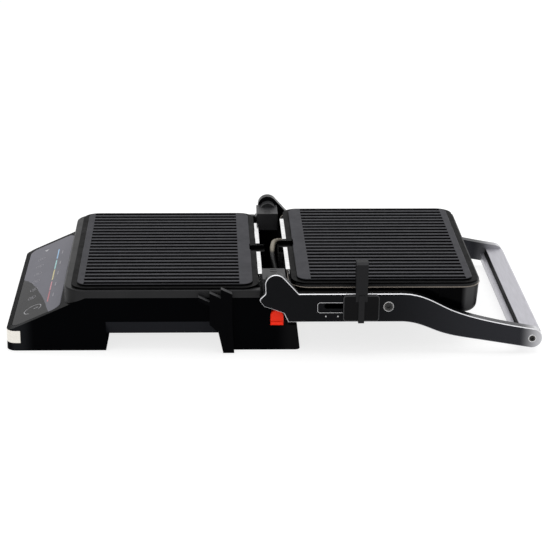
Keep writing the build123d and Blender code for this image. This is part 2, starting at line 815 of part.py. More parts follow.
# Tower, pin, arm and screws on each side; the left ones are the right ones mirrored
for hand, sign in (("left", -1), ("right", 1)):
    side_plane = Plane(origin=(0, 0, 0), x_dir=(0, 1, 0), z_dir=(1, 0, 0))

    with BuildPart() as tower:
        with BuildSketch(Plane.XY.offset(deck_z)):
            with Locations((sign * (tower_inner + body_half) / 2, (tower_front_y + tower_rear_y) / 2)):
                RectangleRounded(body_half - tower_inner, tower_rear_y - tower_front_y, 1.5)
        extrude(amount=tower_top - deck_z)
        with BuildSketch(side_plane.offset(sign * tower_boss_inner)):
            with Locations((0, hinge_z)):
                Circle(tower_boss_r)
        extrude(amount=sign * (frame_half - tower_boss_inner))
        with BuildSketch(side_plane.offset(sign * (arm_inner + pin_depth - pin_length))):
            with Locations((0, hinge_z)):
                Circle(pin_r)
        extrude(amount=sign * pin_length, mode=Mode.SUBTRACT)
        with BuildSketch(Plane.XY.offset(tower_top)):
            with Locations((sign * (tower_inner + 8), (tower_front_y + tower_rear_y) / 2)):
                with GridLocations(7, 1, 2, 1):
                    SlotOverall(tower_slit[0], tower_slit[1], rotation=90)
        extrude(amount=-tower_slit[2], mode=Mode.SUBTRACT)
    save(tower.part, f"{hand}_hinge_tower")

    with BuildPart() as hinge_pin:
        with BuildSketch(side_plane.offset(sign * (arm_inner + pin_depth - pin_length))):
            with Locations((0, hinge_z)):
                Circle(pin_r)
        extrude(amount=sign * pin_length)
        chamfer(hinge_pin.faces().sort_by(Axis.X)[-1 if sign > 0 else 0].edges(), 0.6)
    save(hinge_pin.part, f"{hand}_hinge_pin")

    with BuildPart() as arm:
        with BuildSketch(side_plane.offset(sign * arm_inner)):
            with BuildLine():
                hub_left = (-hub_r, hinge_z + hub_rise)
                hub_right = (
                    hub_r * sin(radians(hub_slope)),
                    hinge_z + hub_rise + hub_r * cos(radians(hub_slope)),
                )
                shoulder = (hub_right[0] + (hub_right[1] - arm_top) / tan(radians(hub_slope)), arm_top)
                end_low = (
                    arm_end[0] - arm_end_r * sin(radians(arm_end_slope)),
                    arm_end[1] - arm_end_r * cos(radians(arm_end_slope)),
                )
                end_high = (
                    arm_end[0] + arm_end_r * sin(radians(arm_end_slope)),
                    arm_end[1] + arm_end_r * cos(radians(arm_end_slope)),
                )
                end_way = (cos(radians(arm_end_slope)), -sin(radians(arm_end_slope)))
                ThreePointArc(hub_left, (0, hinge_z + hub_rise + hub_r), hub_right)
                Polyline(hub_right, shoulder, (arm_straight_y, arm_top))
                Spline(
                    (arm_straight_y, arm_top),
                    arm_high_points[1],
                    arm_high_points[0],
                    end_high,
                    tangents=[(1, 0), end_way],
                )
                ThreePointArc(end_high, (arm_end[0] + arm_end_r, arm_end[1]), end_low)
                Spline(
                    end_low,
                    arm_low_points[1],
                    arm_low_points[0],
                    (arm_straight_y, arm_bottom),
                    tangents=[(-end_way[0], -end_way[1]), (-1, 0)],
                )
                Polyline((arm_straight_y, arm_bottom), *reversed(arm_heel), hub_left)
            make_face()
            heel_corners = arm_heel[:-1]
            fillet(
                [
                    v
                    for v in vertices()
                    if any(abs(v.X - y) + abs(v.Y - z) < 0.01 for y, z in heel_corners)
                ],
                heel_r,
            )
        extrude(amount=sign * arm_thick)
        outer_face = arm.faces().sort_by(Axis.X)[-1 if sign > 0 else 0]
        chamfer(outer_face.outer_wire().edges(), arm_edge)
        # Blind bore of the hinge pin, open to the inside
        with BuildSketch(side_plane.offset(sign * arm_inner)):
            with Locations((0, hinge_z)):
                Circle(pin_r + running_gap)
        extrude(amount=sign * (pin_depth + 1), mode=Mode.SUBTRACT)
        # Seats of the pivot screw and the handle screw
        with BuildSketch(side_plane.offset(sign * arm_inner)):
            with Locations((pivot_y, pivot_z), arm_end):
                Circle(pin_r)
        extrude(amount=sign * arm_thick, mode=Mode.SUBTRACT)
        with BuildSketch(side_plane.offset(sign * arm_outer)):
            with Locations((pivot_y, pivot_z)):
                Circle(pivot_head_r)
            with Locations(arm_end):
                Circle(handle_screw_r)
        extrude(amount=-sign * pivot_head, mode=Mode.SUBTRACT)
        if sign > 0:
            # Slot of the height slider, with a shallow recess round it
            slot_front = slider_y - stop_travel - slider_pin_r - side_gap
            slot_rear = slider_y + slider_pin_r + side_gap
            slot_middle = (slot_front + slot_rear) / 2
            with BuildSketch(side_plane.offset(arm_inner)):
                with Locations((slot_middle, slot_z)):
                    SlotOverall(slot_rear - slot_front, slot_height)
            extrude(amount=arm_thick, mode=Mode.SUBTRACT)
            with BuildSketch(side_plane.offset(arm_outer)):
                with Locations((slot_middle - 1, slot_z - 1.5)):
                    RectangleRounded(slot_rear - slot_front + 14, slot_recess_height, 3)
            extrude(amount=-slot_recess, mode=Mode.SUBTRACT)
            with BuildSketch(side_plane.offset(arm_inner)):
                with Locations((slider_y - stop_travel / 2, slot_z)):
                    Rectangle(stop_travel + 2 * keeper_half_y + 2, 2 * keeper_half_z + 1)
            extrude(amount=keeper_thick + 2 * side_gap, mode=Mode.SUBTRACT)
    save(arm.part, f"{hand}_arm")

    with BuildPart() as pivot_screw:
        with BuildSketch(side_plane.offset(sign * (arm_outer - pivot_head))):
            with Locations((pivot_y, pivot_z)):
                Circle(pivot_head_r - 0.2)
        extrude(amount=sign * (pivot_head - 0.5))
        chamfer(pivot_screw.faces().sort_by(Axis.X)[-1 if sign > 0 else 0].edges(), 0.9)
        with BuildSketch(side_plane.offset(sign * (arm_inner - pivot_reach))):
            with Locations((pivot_y, pivot_z)):
                Circle(pin_r)
        extrude(amount=sign * (pivot_reach + arm_thick - pivot_head))
        with BuildSketch(side_plane.offset(sign * arm_outer)):
            with Locations((pivot_y, pivot_z)):
                RegularPolygon(2.6, 6)
        extrude(amount=-sign * 2.2, mode=Mode.SUBTRACT)
    save(pivot_screw.part, f"{hand}_pivot_screw")

    with BuildPart() as handle_screw:
        with BuildSketch(side_plane.offset(sign * (arm_outer - pivot_head))):
            with Locations(arm_end):
                Circle(handle_screw_r - 0.2)
        extrude(amount=sign * (pivot_head - 0.4))
        chamfer(handle_screw.faces().sort_by(Axis.X)[-1 if sign > 0 else 0].edges(), 0.7)
        with BuildSketch(side_plane.offset(sign * (arm_inner - 12))):
            with Locations(arm_end):
                Circle(pin_r)
        extrude(amount=sign * (12 + arm_thick - pivot_head))
        with BuildSketch(side_plane.offset(sign * arm_outer)):
            with Locations(arm_end):
                RegularPolygon(2.2, 6)
        extrude(amount=-sign * 2.2, mode=Mode.SUBTRACT)
    save(handle_screw.part, f"{hand}_handle_screw")

# Handle: an extruded bar with a groove along it, and the dark strip in the groove
with BuildPart() as handle_bar:
    with BuildSketch(Plane.YZ.offset(-arm_inner)):
        add(
            side_face(
                (
                    (handle_strip_y, handle_floor_z + handle_edge),
                    (handle_strip_y, handle_strip_z),
                    (handle_groove_y, handle_strip_z),
                    (handle_groove_y, handle_groove_floor),
                    (handle_plate_y, handle_groove_floor),
                    (handle_plate_y, handle_top_z),
                    (handle_back_y - 2, handle_top_z),
                    (handle_back_y, handle_top_z - 2),
                    (handle_back_y, handle_floor_z + handle_edge),
                    (handle_back_y - handle_edge, handle_floor_z),
                    (handle_strip_y + handle_edge, handle_floor_z),
                )
            )
        )
    extrude(amount=2 * arm_inner)
    for x in (-arm_inner, arm_inner - 12):
        with BuildSketch(Plane.YZ.offset(x)):
            with Locations(arm_end):
                Circle(pin_r)
        extrude(amount=12, mode=Mode.SUBTRACT)
save(handle_bar.part, "handle_bar")

with BuildPart() as handle_strip:
    with BuildSketch(Plane.YZ.offset(-arm_inner)):
        add(
            side_face(
                (
                    (handle_groove_y, handle_groove_floor),
                    (handle_plate_y, handle_groove_floor),
                    (handle_plate_y, handle_top_z - 1),
                    (handle_groove_y, handle_strip_z - 0.5),
                )
            )
        )
    extrude(amount=2 * arm_inner)
save(handle_strip.part, "handle_strip")

# Height slider with its pin, tab and finger rib, and the keeper behind the arm
with BuildPart() as height_slider:
    with BuildSketch(Plane.YZ.offset(arm_outer + side_gap)):
        with Locations((slider_y, (slider_low + slider_high) / 2)):
            RectangleRounded(2 * slider_half_y, slider_high - slider_low, slider_corner_r)
    extrude(amount=slider_thick)
    chamfer(height_slider.faces().sort_by(Axis.X)[-1].edges(), 1.2)
    with BuildSketch(Plane.YZ.offset(tab_inner)):
        with Locations((slider_y, (arm_top + 1 + tab_top) / 2)):
            Rectangle(2 * tab_half_y, tab_top - arm_top - 1)
    extrude(amount=tab_outer - tab_inner)
    with BuildSketch(Plane.YZ.offset(arm_outer + side_gap)):
        with Locations((slider_y, (slider_high - 8 + tab_top) / 2)):
            Rectangle(2 * tab_half_y, tab_top - slider_high + 8)
    extrude(amount=tab_outer - arm_outer - side_gap)
    chamfer(height_slider.edges().filter_by(Axis.Y).group_by(Axis.Z)[-1], tab_bevel)
    with BuildSketch(Plane.YZ.offset(arm_outer + side_gap)):
        with Locations((slider_y, (grip_low + slider_high) / 2)):
            Rectangle(2 * grip_half_y, slider_high - grip_low)
    extrude(amount=tab_outer - arm_outer - side_gap + 0.8)
    with BuildSketch(Plane.YZ.offset(arm_inner + side_gap + keeper_thick)):
        with Locations((slider_y, slot_z)):
            Circle(slider_pin_r)
    extrude(amount=arm_thick - keeper_thick)
save(height_slider.part, "height_slider")

with BuildPart() as slider_keeper:
    with BuildSketch(Plane.YZ.offset(arm_inner + side_gap)):
        with Locations((slider_y, slot_z)):
            RectangleRounded(2 * keeper_half_y, 2 * keeper_half_z, 2)
    extrude(amount=keeper_thick)
save(slider_keeper.part, "slider_keeper")

# Lid: a drafted, rounded shell with bosses for the pivot screws, and the frame on it
with BuildPart() as lid_shell:
    with BuildSketch(Plane.XY.offset(lid_shell_top)):
        with Locations((0, (lid_near_y + lid_far_y) / 2)):
            RectangleRounded(2 * lid_half, lid_far_y - lid_near_y, lid_corner_r)
    extrude(amount=-(lid_shell_top - lid_bottom), taper=lid_draft)
    fillet(lid_shell.faces().sort_by(Axis.Z)[0].edges(), lid_round)
    with BuildSketch(Plane.XY.offset(lid_bottom + lid_floor)):
        with Locations((0, (lid_near_y + lid_far_y) / 2)):
            RectangleRounded(
                2 * (lid_half - lid_wall), lid_far_y - lid_near_y - 2 * lid_wall, lid_corner_r - lid_wall
            )
    extrude(amount=lid_shell_top, mode=Mode.SUBTRACT)
    for sign in (-1, 1):
        with BuildSketch(Plane.YZ.offset(sign * (arm_inner - pivot_reach - 2))):
            with Locations((pivot_y, pivot_z)):
                Circle(pivot_boss_r)
        extrude(amount=sign * (pivot_reach + 2 - 0.5))
        with BuildSketch(Plane.YZ.offset(sign * (arm_inner - pivot_reach - 2))):
            with Locations((pivot_y, pivot_z)):
                Circle(pin_r + running_gap)
        extrude(amount=sign * (pivot_reach + 2), mode=Mode.SUBTRACT)
    with BuildSketch(Plane.XY.offset(lid_bottom + lid_floor)):
        with Locations((0, (pan_near_y + pan_far_y) / 2)):
            with GridLocations(2 * heater_half, pan_post_run, 2, 2):
                Circle(post_r)
    extrude(amount=upper_land - plate_depth - pan_drop - lid_bottom - lid_floor)
    with BuildSketch(Plane.YZ.offset(lid_half + 1)):
        with Locations((latch_y, lid_shell_top - latch_height / 2)):
            Rectangle(2 * (latch_half + side_gap), latch_height + 0.1)
    extrude(amount=-(lid_wall + 2), mode=Mode.SUBTRACT)
    # Notch for the spout in the near wall
    with BuildSketch(Plane.XZ.offset(-lid_near_y + 1)):
        with Locations((0, lid_shell_top)):
            Rectangle(2 * (spout_half + side_gap), 2 * (lid_shell_top - upper_spout_z + side_gap))
    extrude(amount=-(lid_wall + 2), mode=Mode.SUBTRACT)
save(lid_shell.part, "lid_shell")

with BuildPart() as lid_frame:
    with BuildSketch(Plane.XY.offset(lid_shell_top)):
        with Locations((0, (lid_near_y + lid_far_y) / 2)):
            RectangleRounded(2 * lid_half, lid_far_y - lid_near_y, lid_corner_r)
    extrude(amount=lid_frame_top - lid_shell_top)
    with BuildSketch(Plane.XY.offset(lid_shell_top)):
        with BuildLine():
            inner_half = plate_half - frame_ledge + side_gap
            inner_far = plate_far_y - frame_ledge + side_gap
            Polyline(
                (-inner_half, lid_near_y - 1),
                (inner_half, lid_near_y - 1),
                (inner_half, inner_far),
                (-inner_half, inner_far),
                close=True,
            )
        make_face()
        fillet(vertices().group_by(Axis.Y)[-1], plate_corner_r - frame_ledge)
    extrude(amount=lid_frame_top, mode=Mode.SUBTRACT)
save(lid_frame.part, "lid_frame")

# Plate latches: one in the left wall of the base, one in the right wall of the lid
with BuildPart() as lower_plate_latch:
    with BuildSketch(Plane.YZ.offset(-body_half - 0.6)):
        with Locations((-latch_y, deck_z - (latch_height + latch_gap) / 2)):
            Rectangle(2 * latch_half, latch_height - latch_gap)
    extrude(amount=latch_depth)
save(lower_plate_latch.part, "lower_plate_latch")

with BuildPart() as upper_plate_latch:
    with BuildSketch(Plane.YZ.offset(lid_half + 0.6)):
        with Locations((latch_y, lid_shell_top - (latch_height + latch_gap) / 2)):
            Rectangle(2 * latch_half, latch_height - latch_gap)
    extrude(amount=-latch_depth)
save(upper_plate_latch.part, "upper_plate_latch")

# Drip tray under the pit, drawn out to the rear
with BuildPart() as drip_tray:
    with BuildSketch(Plane.YZ.offset(-tray_half)):
        add(
            side_face(
                (
                    (tray_front_y, tray_floor_z),
                    (tray_rear_low, tray_floor_z),
                    (tray_rear_high, tray_top_z),
                    (tray_front_y, tray_top_z),
                )
            )
        )
    extrude(amount=2 * tray_half)
    with BuildSketch(Plane.XY.offset(tray_floor_z + tray_wall)):
        with Locations((0, (tray_front_y + tray_rear_high) / 2 - tray_wall)):
            RectangleRounded(
                2 * (tray_half - tray_wall), tray_rear_high - tray_front_y - 4 * tray_wall, 5
            )
    extrude(amount=tray_top_z, mode=Mode.SUBTRACT)
    with BuildSketch(Plane.XZ.offset(-tray_rear_low - 1)):
        with Locations((0, (tray_floor_z + tray_top_z) / 2)):
            SlotOverall(tray_grip[0], tray_grip[1])
    extrude(amount=3, mode=Mode.SUBTRACT)
save(drip_tray.part, "drip_tray")

# Red release button with a domed top, and its spring
with BuildPart() as release_button:
    with BuildSketch(Plane.YZ.offset(body_half - button_depth)):
        with BuildLine():
            dome_low = button_high - button_half
            Polyline(
                (button_y - button_half, dome_low),
                (button_y - button_half, button_low),
                (button_y + button_half, button_low),
                (button_y + button_half, dome_low),
            )
            ThreePointArc(
                (button_y - button_half, dome_low),
                (button_y, button_high),
                (button_y + button_half, dome_low),
            )
        make_face()
    extrude(amount=button_depth + button_out - 1)
    chamfer(release_button.faces().sort_by(Axis.X)[-1].edges(), 1)
    with BuildSketch(Plane.YZ.offset(body_half)):
        with Locations((button_y, button_low + 4)):
            Rectangle(2 * button_half - 2.4, 2)
    extrude(amount=button_out)
save(release_button.part, "release_button")

with BuildPart() as release_spring:
    with BuildLine() as spring_route:
        Helix(
            pitch=(spring_room - 2 * spring_wire_r) / spring_turns,
            height=spring_room - 2 * spring_wire_r,
            radius=spring_r - spring_wire_r,
            center=(
                body_half - button_depth - spring_room + spring_wire_r,
                button_y,
                (button_low + button_high) / 2,
            ),
            direction=(1, 0, 0),
        )
    with BuildSketch(Plane(origin=spring_route.line @ 0, z_dir=spring_route.line % 0)):
        Circle(spring_wire_r)
    sweep(is_frenet=True)
save(release_spring.part, "release_spring")

# Lead sleeve from the base to the lid, looped out into the pit
with BuildPart() as lead_sleeve:
    with BuildLine() as sleeve_route:
        FilletPolyline(*sleeve_points, radius=sleeve_bends)
    with BuildSketch(Plane(origin=sleeve_route.line @ 0, z_dir=sleeve_route.line % 0)):
        Circle(sleeve_r)
    sweep()
save(lead_sleeve.part, "lead_sleeve")
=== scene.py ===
"""Looks of an electric contact grill laid open flat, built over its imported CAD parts.

X runs across the grill, Y from the touch panel to the handle, Z up, all in metres.
"""

import logging
import math
from dataclasses import dataclass, field
from enum import Enum

import bpy
import numpy as np
from mathutils import Matrix, Vector


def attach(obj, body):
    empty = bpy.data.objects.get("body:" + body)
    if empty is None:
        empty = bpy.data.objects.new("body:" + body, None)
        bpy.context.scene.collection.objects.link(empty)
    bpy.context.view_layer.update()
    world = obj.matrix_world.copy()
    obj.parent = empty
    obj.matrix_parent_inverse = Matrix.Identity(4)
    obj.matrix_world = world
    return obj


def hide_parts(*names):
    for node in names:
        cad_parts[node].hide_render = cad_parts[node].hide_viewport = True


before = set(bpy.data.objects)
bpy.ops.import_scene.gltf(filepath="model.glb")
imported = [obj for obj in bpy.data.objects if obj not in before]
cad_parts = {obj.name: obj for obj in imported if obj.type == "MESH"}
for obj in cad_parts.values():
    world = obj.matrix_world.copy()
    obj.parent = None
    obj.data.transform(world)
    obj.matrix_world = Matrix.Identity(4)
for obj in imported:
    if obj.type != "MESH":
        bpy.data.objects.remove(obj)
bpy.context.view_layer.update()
LOG = logging.getLogger("contact_grill")

Colour = tuple[float, float, float]


class Axis3(Enum):
    """Axis of the object's own space, as an index into a vector."""

    ACROSS = 0
    ALONG = 1
    UP = 2


class Recipe:
    """A material's node tree, with a method for each kind of node that the finishes use."""

    def __init__(self, name: str) -> None:
        """Start an empty tree that holds one shader and its output.

        Args:
            name: Name of the material.
        """
        self.material = bpy.data.materials.new(name)
        self.material.use_nodes = True
        self.tree = self.material.node_tree
        self.tree.nodes.clear()
        self.shader = self.tree.nodes.new("ShaderNodeBsdfPrincipled")
        self.output = self.tree.nodes.new("ShaderNodeOutputMaterial")
        self.tree.links.new(self.shader.outputs["BSDF"], self.output.inputs["Surface"])
        self.place = self.tree.nodes.new("ShaderNodeTexCoord")

    def link(self, source: bpy.types.NodeSocket, target: bpy.types.NodeSocket) -> None:
        """Join an output to an input."""
        self.tree.links.new(source, target)

    def stretched(self, scale: Colour) -> bpy.types.NodeSocket:
        """Object coordinates, stretched along the axes.

        Args:
            scale: Factor along each axis.

        Returns:
            The mapped coordinates.
        """
        mapping = self.tree.nodes.new("ShaderNodeMapping")
        mapping.inputs["Scale"].default_value = scale
        self.link(self.place.outputs["Object"], mapping.inputs["Vector"])
        return mapping.outputs["Vector"]

    def noise(self, scale: float, detail: float = 3.0, stretch: Colour = (1.0, 1.0, 1.0)) -> bpy.types.NodeSocket:
        """Fractal noise over the object's own space.

        Args:
            scale: Cells per metre.
            detail: Octaves.
            stretch: Factor along each axis.

        Returns:
            The noise factor, about 0.5 on average.
        """
        node = self.tree.nodes.new("ShaderNodeTexNoise")
        node.inputs["Scale"].default_value = scale
        node.inputs["Detail"].default_value = detail
        self.link(self.stretched(stretch), node.inputs["Vector"])
        return node.outputs["Fac"]

    def speckle(self, scale: float) -> bpy.types.NodeSocket:
        """Distance to the nearest of many scattered points, 0 at a point."""
        node = self.tree.nodes.new("ShaderNodeTexVoronoi")
        node.inputs["Scale"].default_value = scale
        self.link(self.place.outputs["Object"], node.inputs["Vector"])
        return node.outputs["Distance"]

    def coordinate(self, axis: Axis3) -> bpy.types.NodeSocket:
        """One coordinate of the object's own space, in metres."""
        split = self.tree.nodes.new("ShaderNodeSeparateXYZ")
        self.link(self.place.outputs["Object"], split.inputs["Vector"])
        return split.outputs[axis.value]

    def normal(self, axis: Axis3) -> bpy.types.NodeSocket:
        """One coordinate of the surface's own normal, from -1 to 1."""
        split = self.tree.nodes.new("ShaderNodeSeparateXYZ")
        self.link(self.place.outputs["Normal"], split.inputs["Vector"])
        return split.outputs[axis.value]

    def facing(self, axis: Axis3) -> bpy.types.NodeSocket:
        """How far the surface faces along an axis of the object, from 0 to 1."""
        return self.maths("ABSOLUTE", self.normal(axis))

    def total(self, first: bpy.types.NodeSocket, second: bpy.types.NodeSocket) -> bpy.types.NodeSocket:
        """Sum of two values."""
        node = self.tree.nodes.new("ShaderNodeMath")
        node.operation = "ADD"
        self.link(first, node.inputs[0])
        self.link(second, node.inputs[1])
        return node.outputs[0]

    def maths(self, operation: str, first: bpy.types.NodeSocket, second: float = 0.0) -> bpy.types.NodeSocket:
        """One sum on a value.

        Args:
            operation: Name of the Math node's operation.
            first: Value that it works on.
            second: Constant second value.

        Returns:
            The result.
        """
        node = self.tree.nodes.new("ShaderNodeMath")
        node.operation = operation
        self.link(first, node.inputs[0])
        node.inputs[1].default_value = second
        return node.outputs[0]

    def span(self, value: bpy.types.NodeSocket, low: float, high: float, out_low: float = 0.0,
             out_high: float = 1.0) -> bpy.types.NodeSocket:
        """A value carried from one range to another, smoothly and without overshoot.

        Args:
            value: Value to carry.
            low: Start of its range.
            high: End of its range.
            out_low: Result at the start.
            out_high: Result at the end.

        Returns:
            The carried value.
        """
        node = self.tree.nodes.new("ShaderNodeMapRange")
        node.interpolation_type = "SMOOTHSTEP"
        self.link(value, node.inputs["Value"])
        node.inputs["From Min"].default_value = low
        node.inputs["From Max"].default_value = high
        node.inputs["To Min"].default_value = out_low
        node.inputs["To Max"].default_value = out_high
        return node.outputs["Result"]

    def both(self, first: bpy.types.NodeSocket, second: bpy.types.NodeSocket) -> bpy.types.NodeSocket:
        """Product of two masks."""
        node = self.tree.nodes.new("ShaderNodeMath")
        node.operation = "MULTIPLY"
        self.link(first, node.inputs[0])
        self.link(second, node.inputs[1])
        return node.outputs[0]

    def blend(self, mask: bpy.types.NodeSocket, low: object, high: object) -> bpy.types.NodeSocket:
        """Mix of two colours.

        Args:
            mask: 0 gives the first colour and 1 the second.
            low: First colour, or a socket with one.
            high: Second colour, or a socket with one.

        Returns:
            The mixed colour.
        """
        node = self.tree.nodes.new("ShaderNodeMix")
        node.data_type = "RGBA"
        self.link(mask, node.inputs["Factor"])
        for name, value in (("A", low), ("B", high)):
            socket = next(s for s in node.inputs if s.name == name and s.type == "RGBA")
            if isinstance(value, bpy.types.NodeSocket):
                self.link(value, socket)
            else:
                socket.default_value = (*value, 1.0)
        return next(s for s in node.outputs if s.type == "RGBA")

    def shade(self, colour: Colour, spread: float, mask: bpy.types.NodeSocket) -> bpy.types.NodeSocket:
        """A colour that drifts a little darker and lighter.

        Args:
            colour: Mean colour.
            spread: Largest share by which it drifts.
            mask: Noise that says where.

        Returns:
            The drifting colour.
        """
        darker = tuple(c * (1 - spread) for c in colour)
        lighter = tuple(min(1.0, c * (1 + spread)) for c in colour)
        return self.blend(self.span(mask, 0.3, 0.7), darker, lighter)

    def bump(self, height: bpy.types.NodeSocket, depth: float, strength: float = 1.0) -> None:
        """Let a height field tilt the surface.

        Args:
            height: Field between 0 and 1.
            depth: Height of the field in metres.
            strength: Share of the tilt that is used.
        """
        node = self.tree.nodes.new("ShaderNodeBump")
        node.inputs["Distance"].default_value = depth
        node.inputs["Strength"].default_value = strength
        self.link(height, node.inputs["Height"])
        self.link(node.outputs["Normal"], self.shader.inputs["Normal"])

    def set(self, name: str, value: object) -> None:
        """Give one of the shader's inputs a constant or a socket."""
        if isinstance(value, bpy.types.NodeSocket):
            self.link(value, self.shader.inputs[name])
        else:
            self.shader.inputs[name].default_value = value


class TintBy(Enum):
    """What a tint follows."""

    PLACE = "place"
    NORMAL = "normal"
    FACING = "facing"


@dataclass(frozen=True)
class Tint:
    """A softly bounded zone of another colour, used for painted highlights, sheen, reflections and shade on one side or
    part of a surface.

    Its strength rises from 0 to 1 between the first two stops and falls again between the last two.
    """

    by: TintBy
    axis: Axis3
    stops: tuple[float, float, float, float]
    colour: Colour

    def mask(self, recipe: Recipe) -> bpy.types.NodeSocket:
        """Strength of the tint.

        Args:
            recipe: Material that the tint is for.

        Returns:
            A value between 0 and 1.
        """
        sources = {TintBy.PLACE: recipe.coordinate, TintBy.NORMAL: recipe.normal, TintBy.FACING: recipe.facing}
        value = sources[self.by](self.axis)
        return recipe.both(recipe.span(value, *self.stops[:2]), recipe.span(value, self.stops[3], self.stops[2]))


@dataclass(frozen=True)
class Moulding:
    """Moulded plastic: a fine spark-eroded grain, with slight drift in colour and gloss."""

    name: str
    colour: Colour
    roughness: float = 0.4
    specular: float = 0.3
    grain: float = 1400.0
    depth: float = 0.00003
    tints: tuple[Tint, ...] = ()

    def make(self) -> bpy.types.Material:
        """Build the material.

        Returns:
            The finished material.
        """
        recipe = Recipe(self.name)
        colour = recipe.shade(self.colour, 0.12, recipe.noise(14.0))
        # Each tint paints light over the colour: a highlight, sheen, reflection or shade.
        for tint in self.tints:
            colour = recipe.blend(tint.mask(recipe), colour, tint.colour)
        recipe.set("Base Color", colour)
        recipe.set("Roughness", recipe.span(recipe.noise(60.0), 0.2, 0.8, self.roughness * 0.88, self.roughness * 1.12))
        recipe.set("Specular IOR Level", self.specular)
        recipe.bump(recipe.noise(self.grain, 2.0), self.depth)
        return recipe.material


@dataclass(frozen=True)
class NonStick:
    """Sprayed non-stick coating: grey on the rib tops with paler wiped flecks, near black below them as painted shade,
    and darker in random patches.
    """

    name: str
    ridge_height: float
    # Groove colour: near black, painted shade below the rib tops; also the colour of the darker random patches.
    groove: Colour = (0.0003, 0.0003, 0.0004)
    ridge: Colour = (0.049, 0.049, 0.055)

    def make(self) -> bpy.types.Material:
        """Build the material.

        Returns:
            The finished material.
        """
        recipe = Recipe(self.name)
        # Painted shade: everything lower than the rib tops takes the near-black groove colour.
        height = recipe.coordinate(Axis3.UP)
        top = recipe.span(height, self.ridge_height - 0.0009, self.ridge_height - 0.0001)
        body = recipe.blend(top, self.groove, self.ridge)
        fleck = recipe.span(recipe.speckle(900.0), 0.0, 0.16, 1.0, 0.0)
        wiped = recipe.blend(recipe.both(fleck, top), body, tuple(c * 1.7 for c in self.ridge))
        worn = recipe.span(recipe.noise(22.0), 0.35, 0.9, 0.0, 0.18)
        recipe.set("Base Color", recipe.blend(worn, wiped, self.groove))
        recipe.set("Roughness", recipe.span(recipe.noise(90.0), 0.2, 0.8, 0.42, 0.54))
        recipe.set("Specular IOR Level", 0.04)
        recipe.bump(recipe.noise(800.0, 3.0), 0.00006)
        return recipe.material


@dataclass(frozen=True)
class ArmPaint:
    """Metallic paint on the cast arms: dark by the hinge, fading to silver by the handle, with a painted highlight on
    the chamfered edges.
    """

    name: str
    dark: Colour = (0.0075, 0.0077, 0.0085)
    middle: Colour = (0.024, 0.0245, 0.028)
    silver: Colour = (0.5, 0.5, 0.52)
    # Edge colour: a painted highlight on the chamfers.
    edge: Colour = (0.7, 0.7, 0.72)
    middle_start: float = 0.1
    fade_start: float = 0.295
    fade_end: float = 0.33

    def make(self) -> bpy.types.Material:
        """Build the material.

        Returns:
            The finished material.
        """
        recipe = Recipe(self.name)
        along = recipe.coordinate(Axis3.ALONG)
        near = recipe.shade(self.dark, 0.4, recipe.noise(1800.0, 2.0))
        far = recipe.shade(self.middle, 0.35, recipe.noise(1500.0, 2.0))
        painted = recipe.blend(recipe.span(along, self.middle_start, self.fade_start), near, far)
        base = recipe.blend(recipe.span(along, self.fade_start, self.fade_end), painted, self.silver)
        # Painted highlight: faces that slant across the arm, its chamfers, take the pale edge colour.
        across = recipe.facing(Axis3.ACROSS)
        rim = recipe.both(recipe.span(across, 0.25, 0.45), recipe.span(across, 0.97, 0.85))
        recipe.set("Base Color", recipe.blend(rim, base, self.edge))
        recipe.set("Metallic", 1.0)
        recipe.set("Roughness", recipe.span(recipe.noise(240.0), 0.2, 0.8, 0.3, 0.42))
        recipe.bump(recipe.noise(2200.0, 2.0), 0.00002)
        return recipe.material


@dataclass(frozen=True)
class Metal:
    """Bare metal with fine marks along one axis."""

    name: str
    colour: Colour
    roughness: float = 0.3
    stretch: Colour = (6.0, 300.0, 300.0)
    depth: float = 0.000015
    metallic: float = 1.0

    def make(self) -> bpy.types.Material:
        """Build the material.

        Returns:
            The finished material.
        """
        recipe = Recipe(self.name)
        lines = recipe.noise(6.0, 4.0, self.stretch)
        recipe.set("Base Color", recipe.shade(self.colour, 0.1, lines))
        recipe.set("Metallic", self.metallic)
        recipe.set("Roughness", recipe.span(lines, 0.25, 0.75, self.roughness * 0.8, self.roughness * 1.2))
        recipe.bump(lines, self.depth)
        return recipe.material


@dataclass(frozen=True)
class HeatTint:
    """Steel sheath of a heating element, browned where it runs hot."""

    name: str
    steel: Colour = (0.24, 0.22, 0.2)
    brown: Colour = (0.1, 0.055, 0.03)

    def make(self) -> bpy.types.Material:
        """Build the material.

        Returns:
            The finished material.
        """
        recipe = Recipe(self.name)
        recipe.set("Base Color", recipe.blend(recipe.span(recipe.noise(18.0), 0.35, 0.65), self.steel, self.brown))
        recipe.set("Metallic", 0.8)
        recipe.set("Roughness", recipe.span(recipe.noise(400.0), 0.2, 0.8, 0.35, 0.55))
        recipe.bump(recipe.noise(900.0), 0.00003)
        return recipe.material


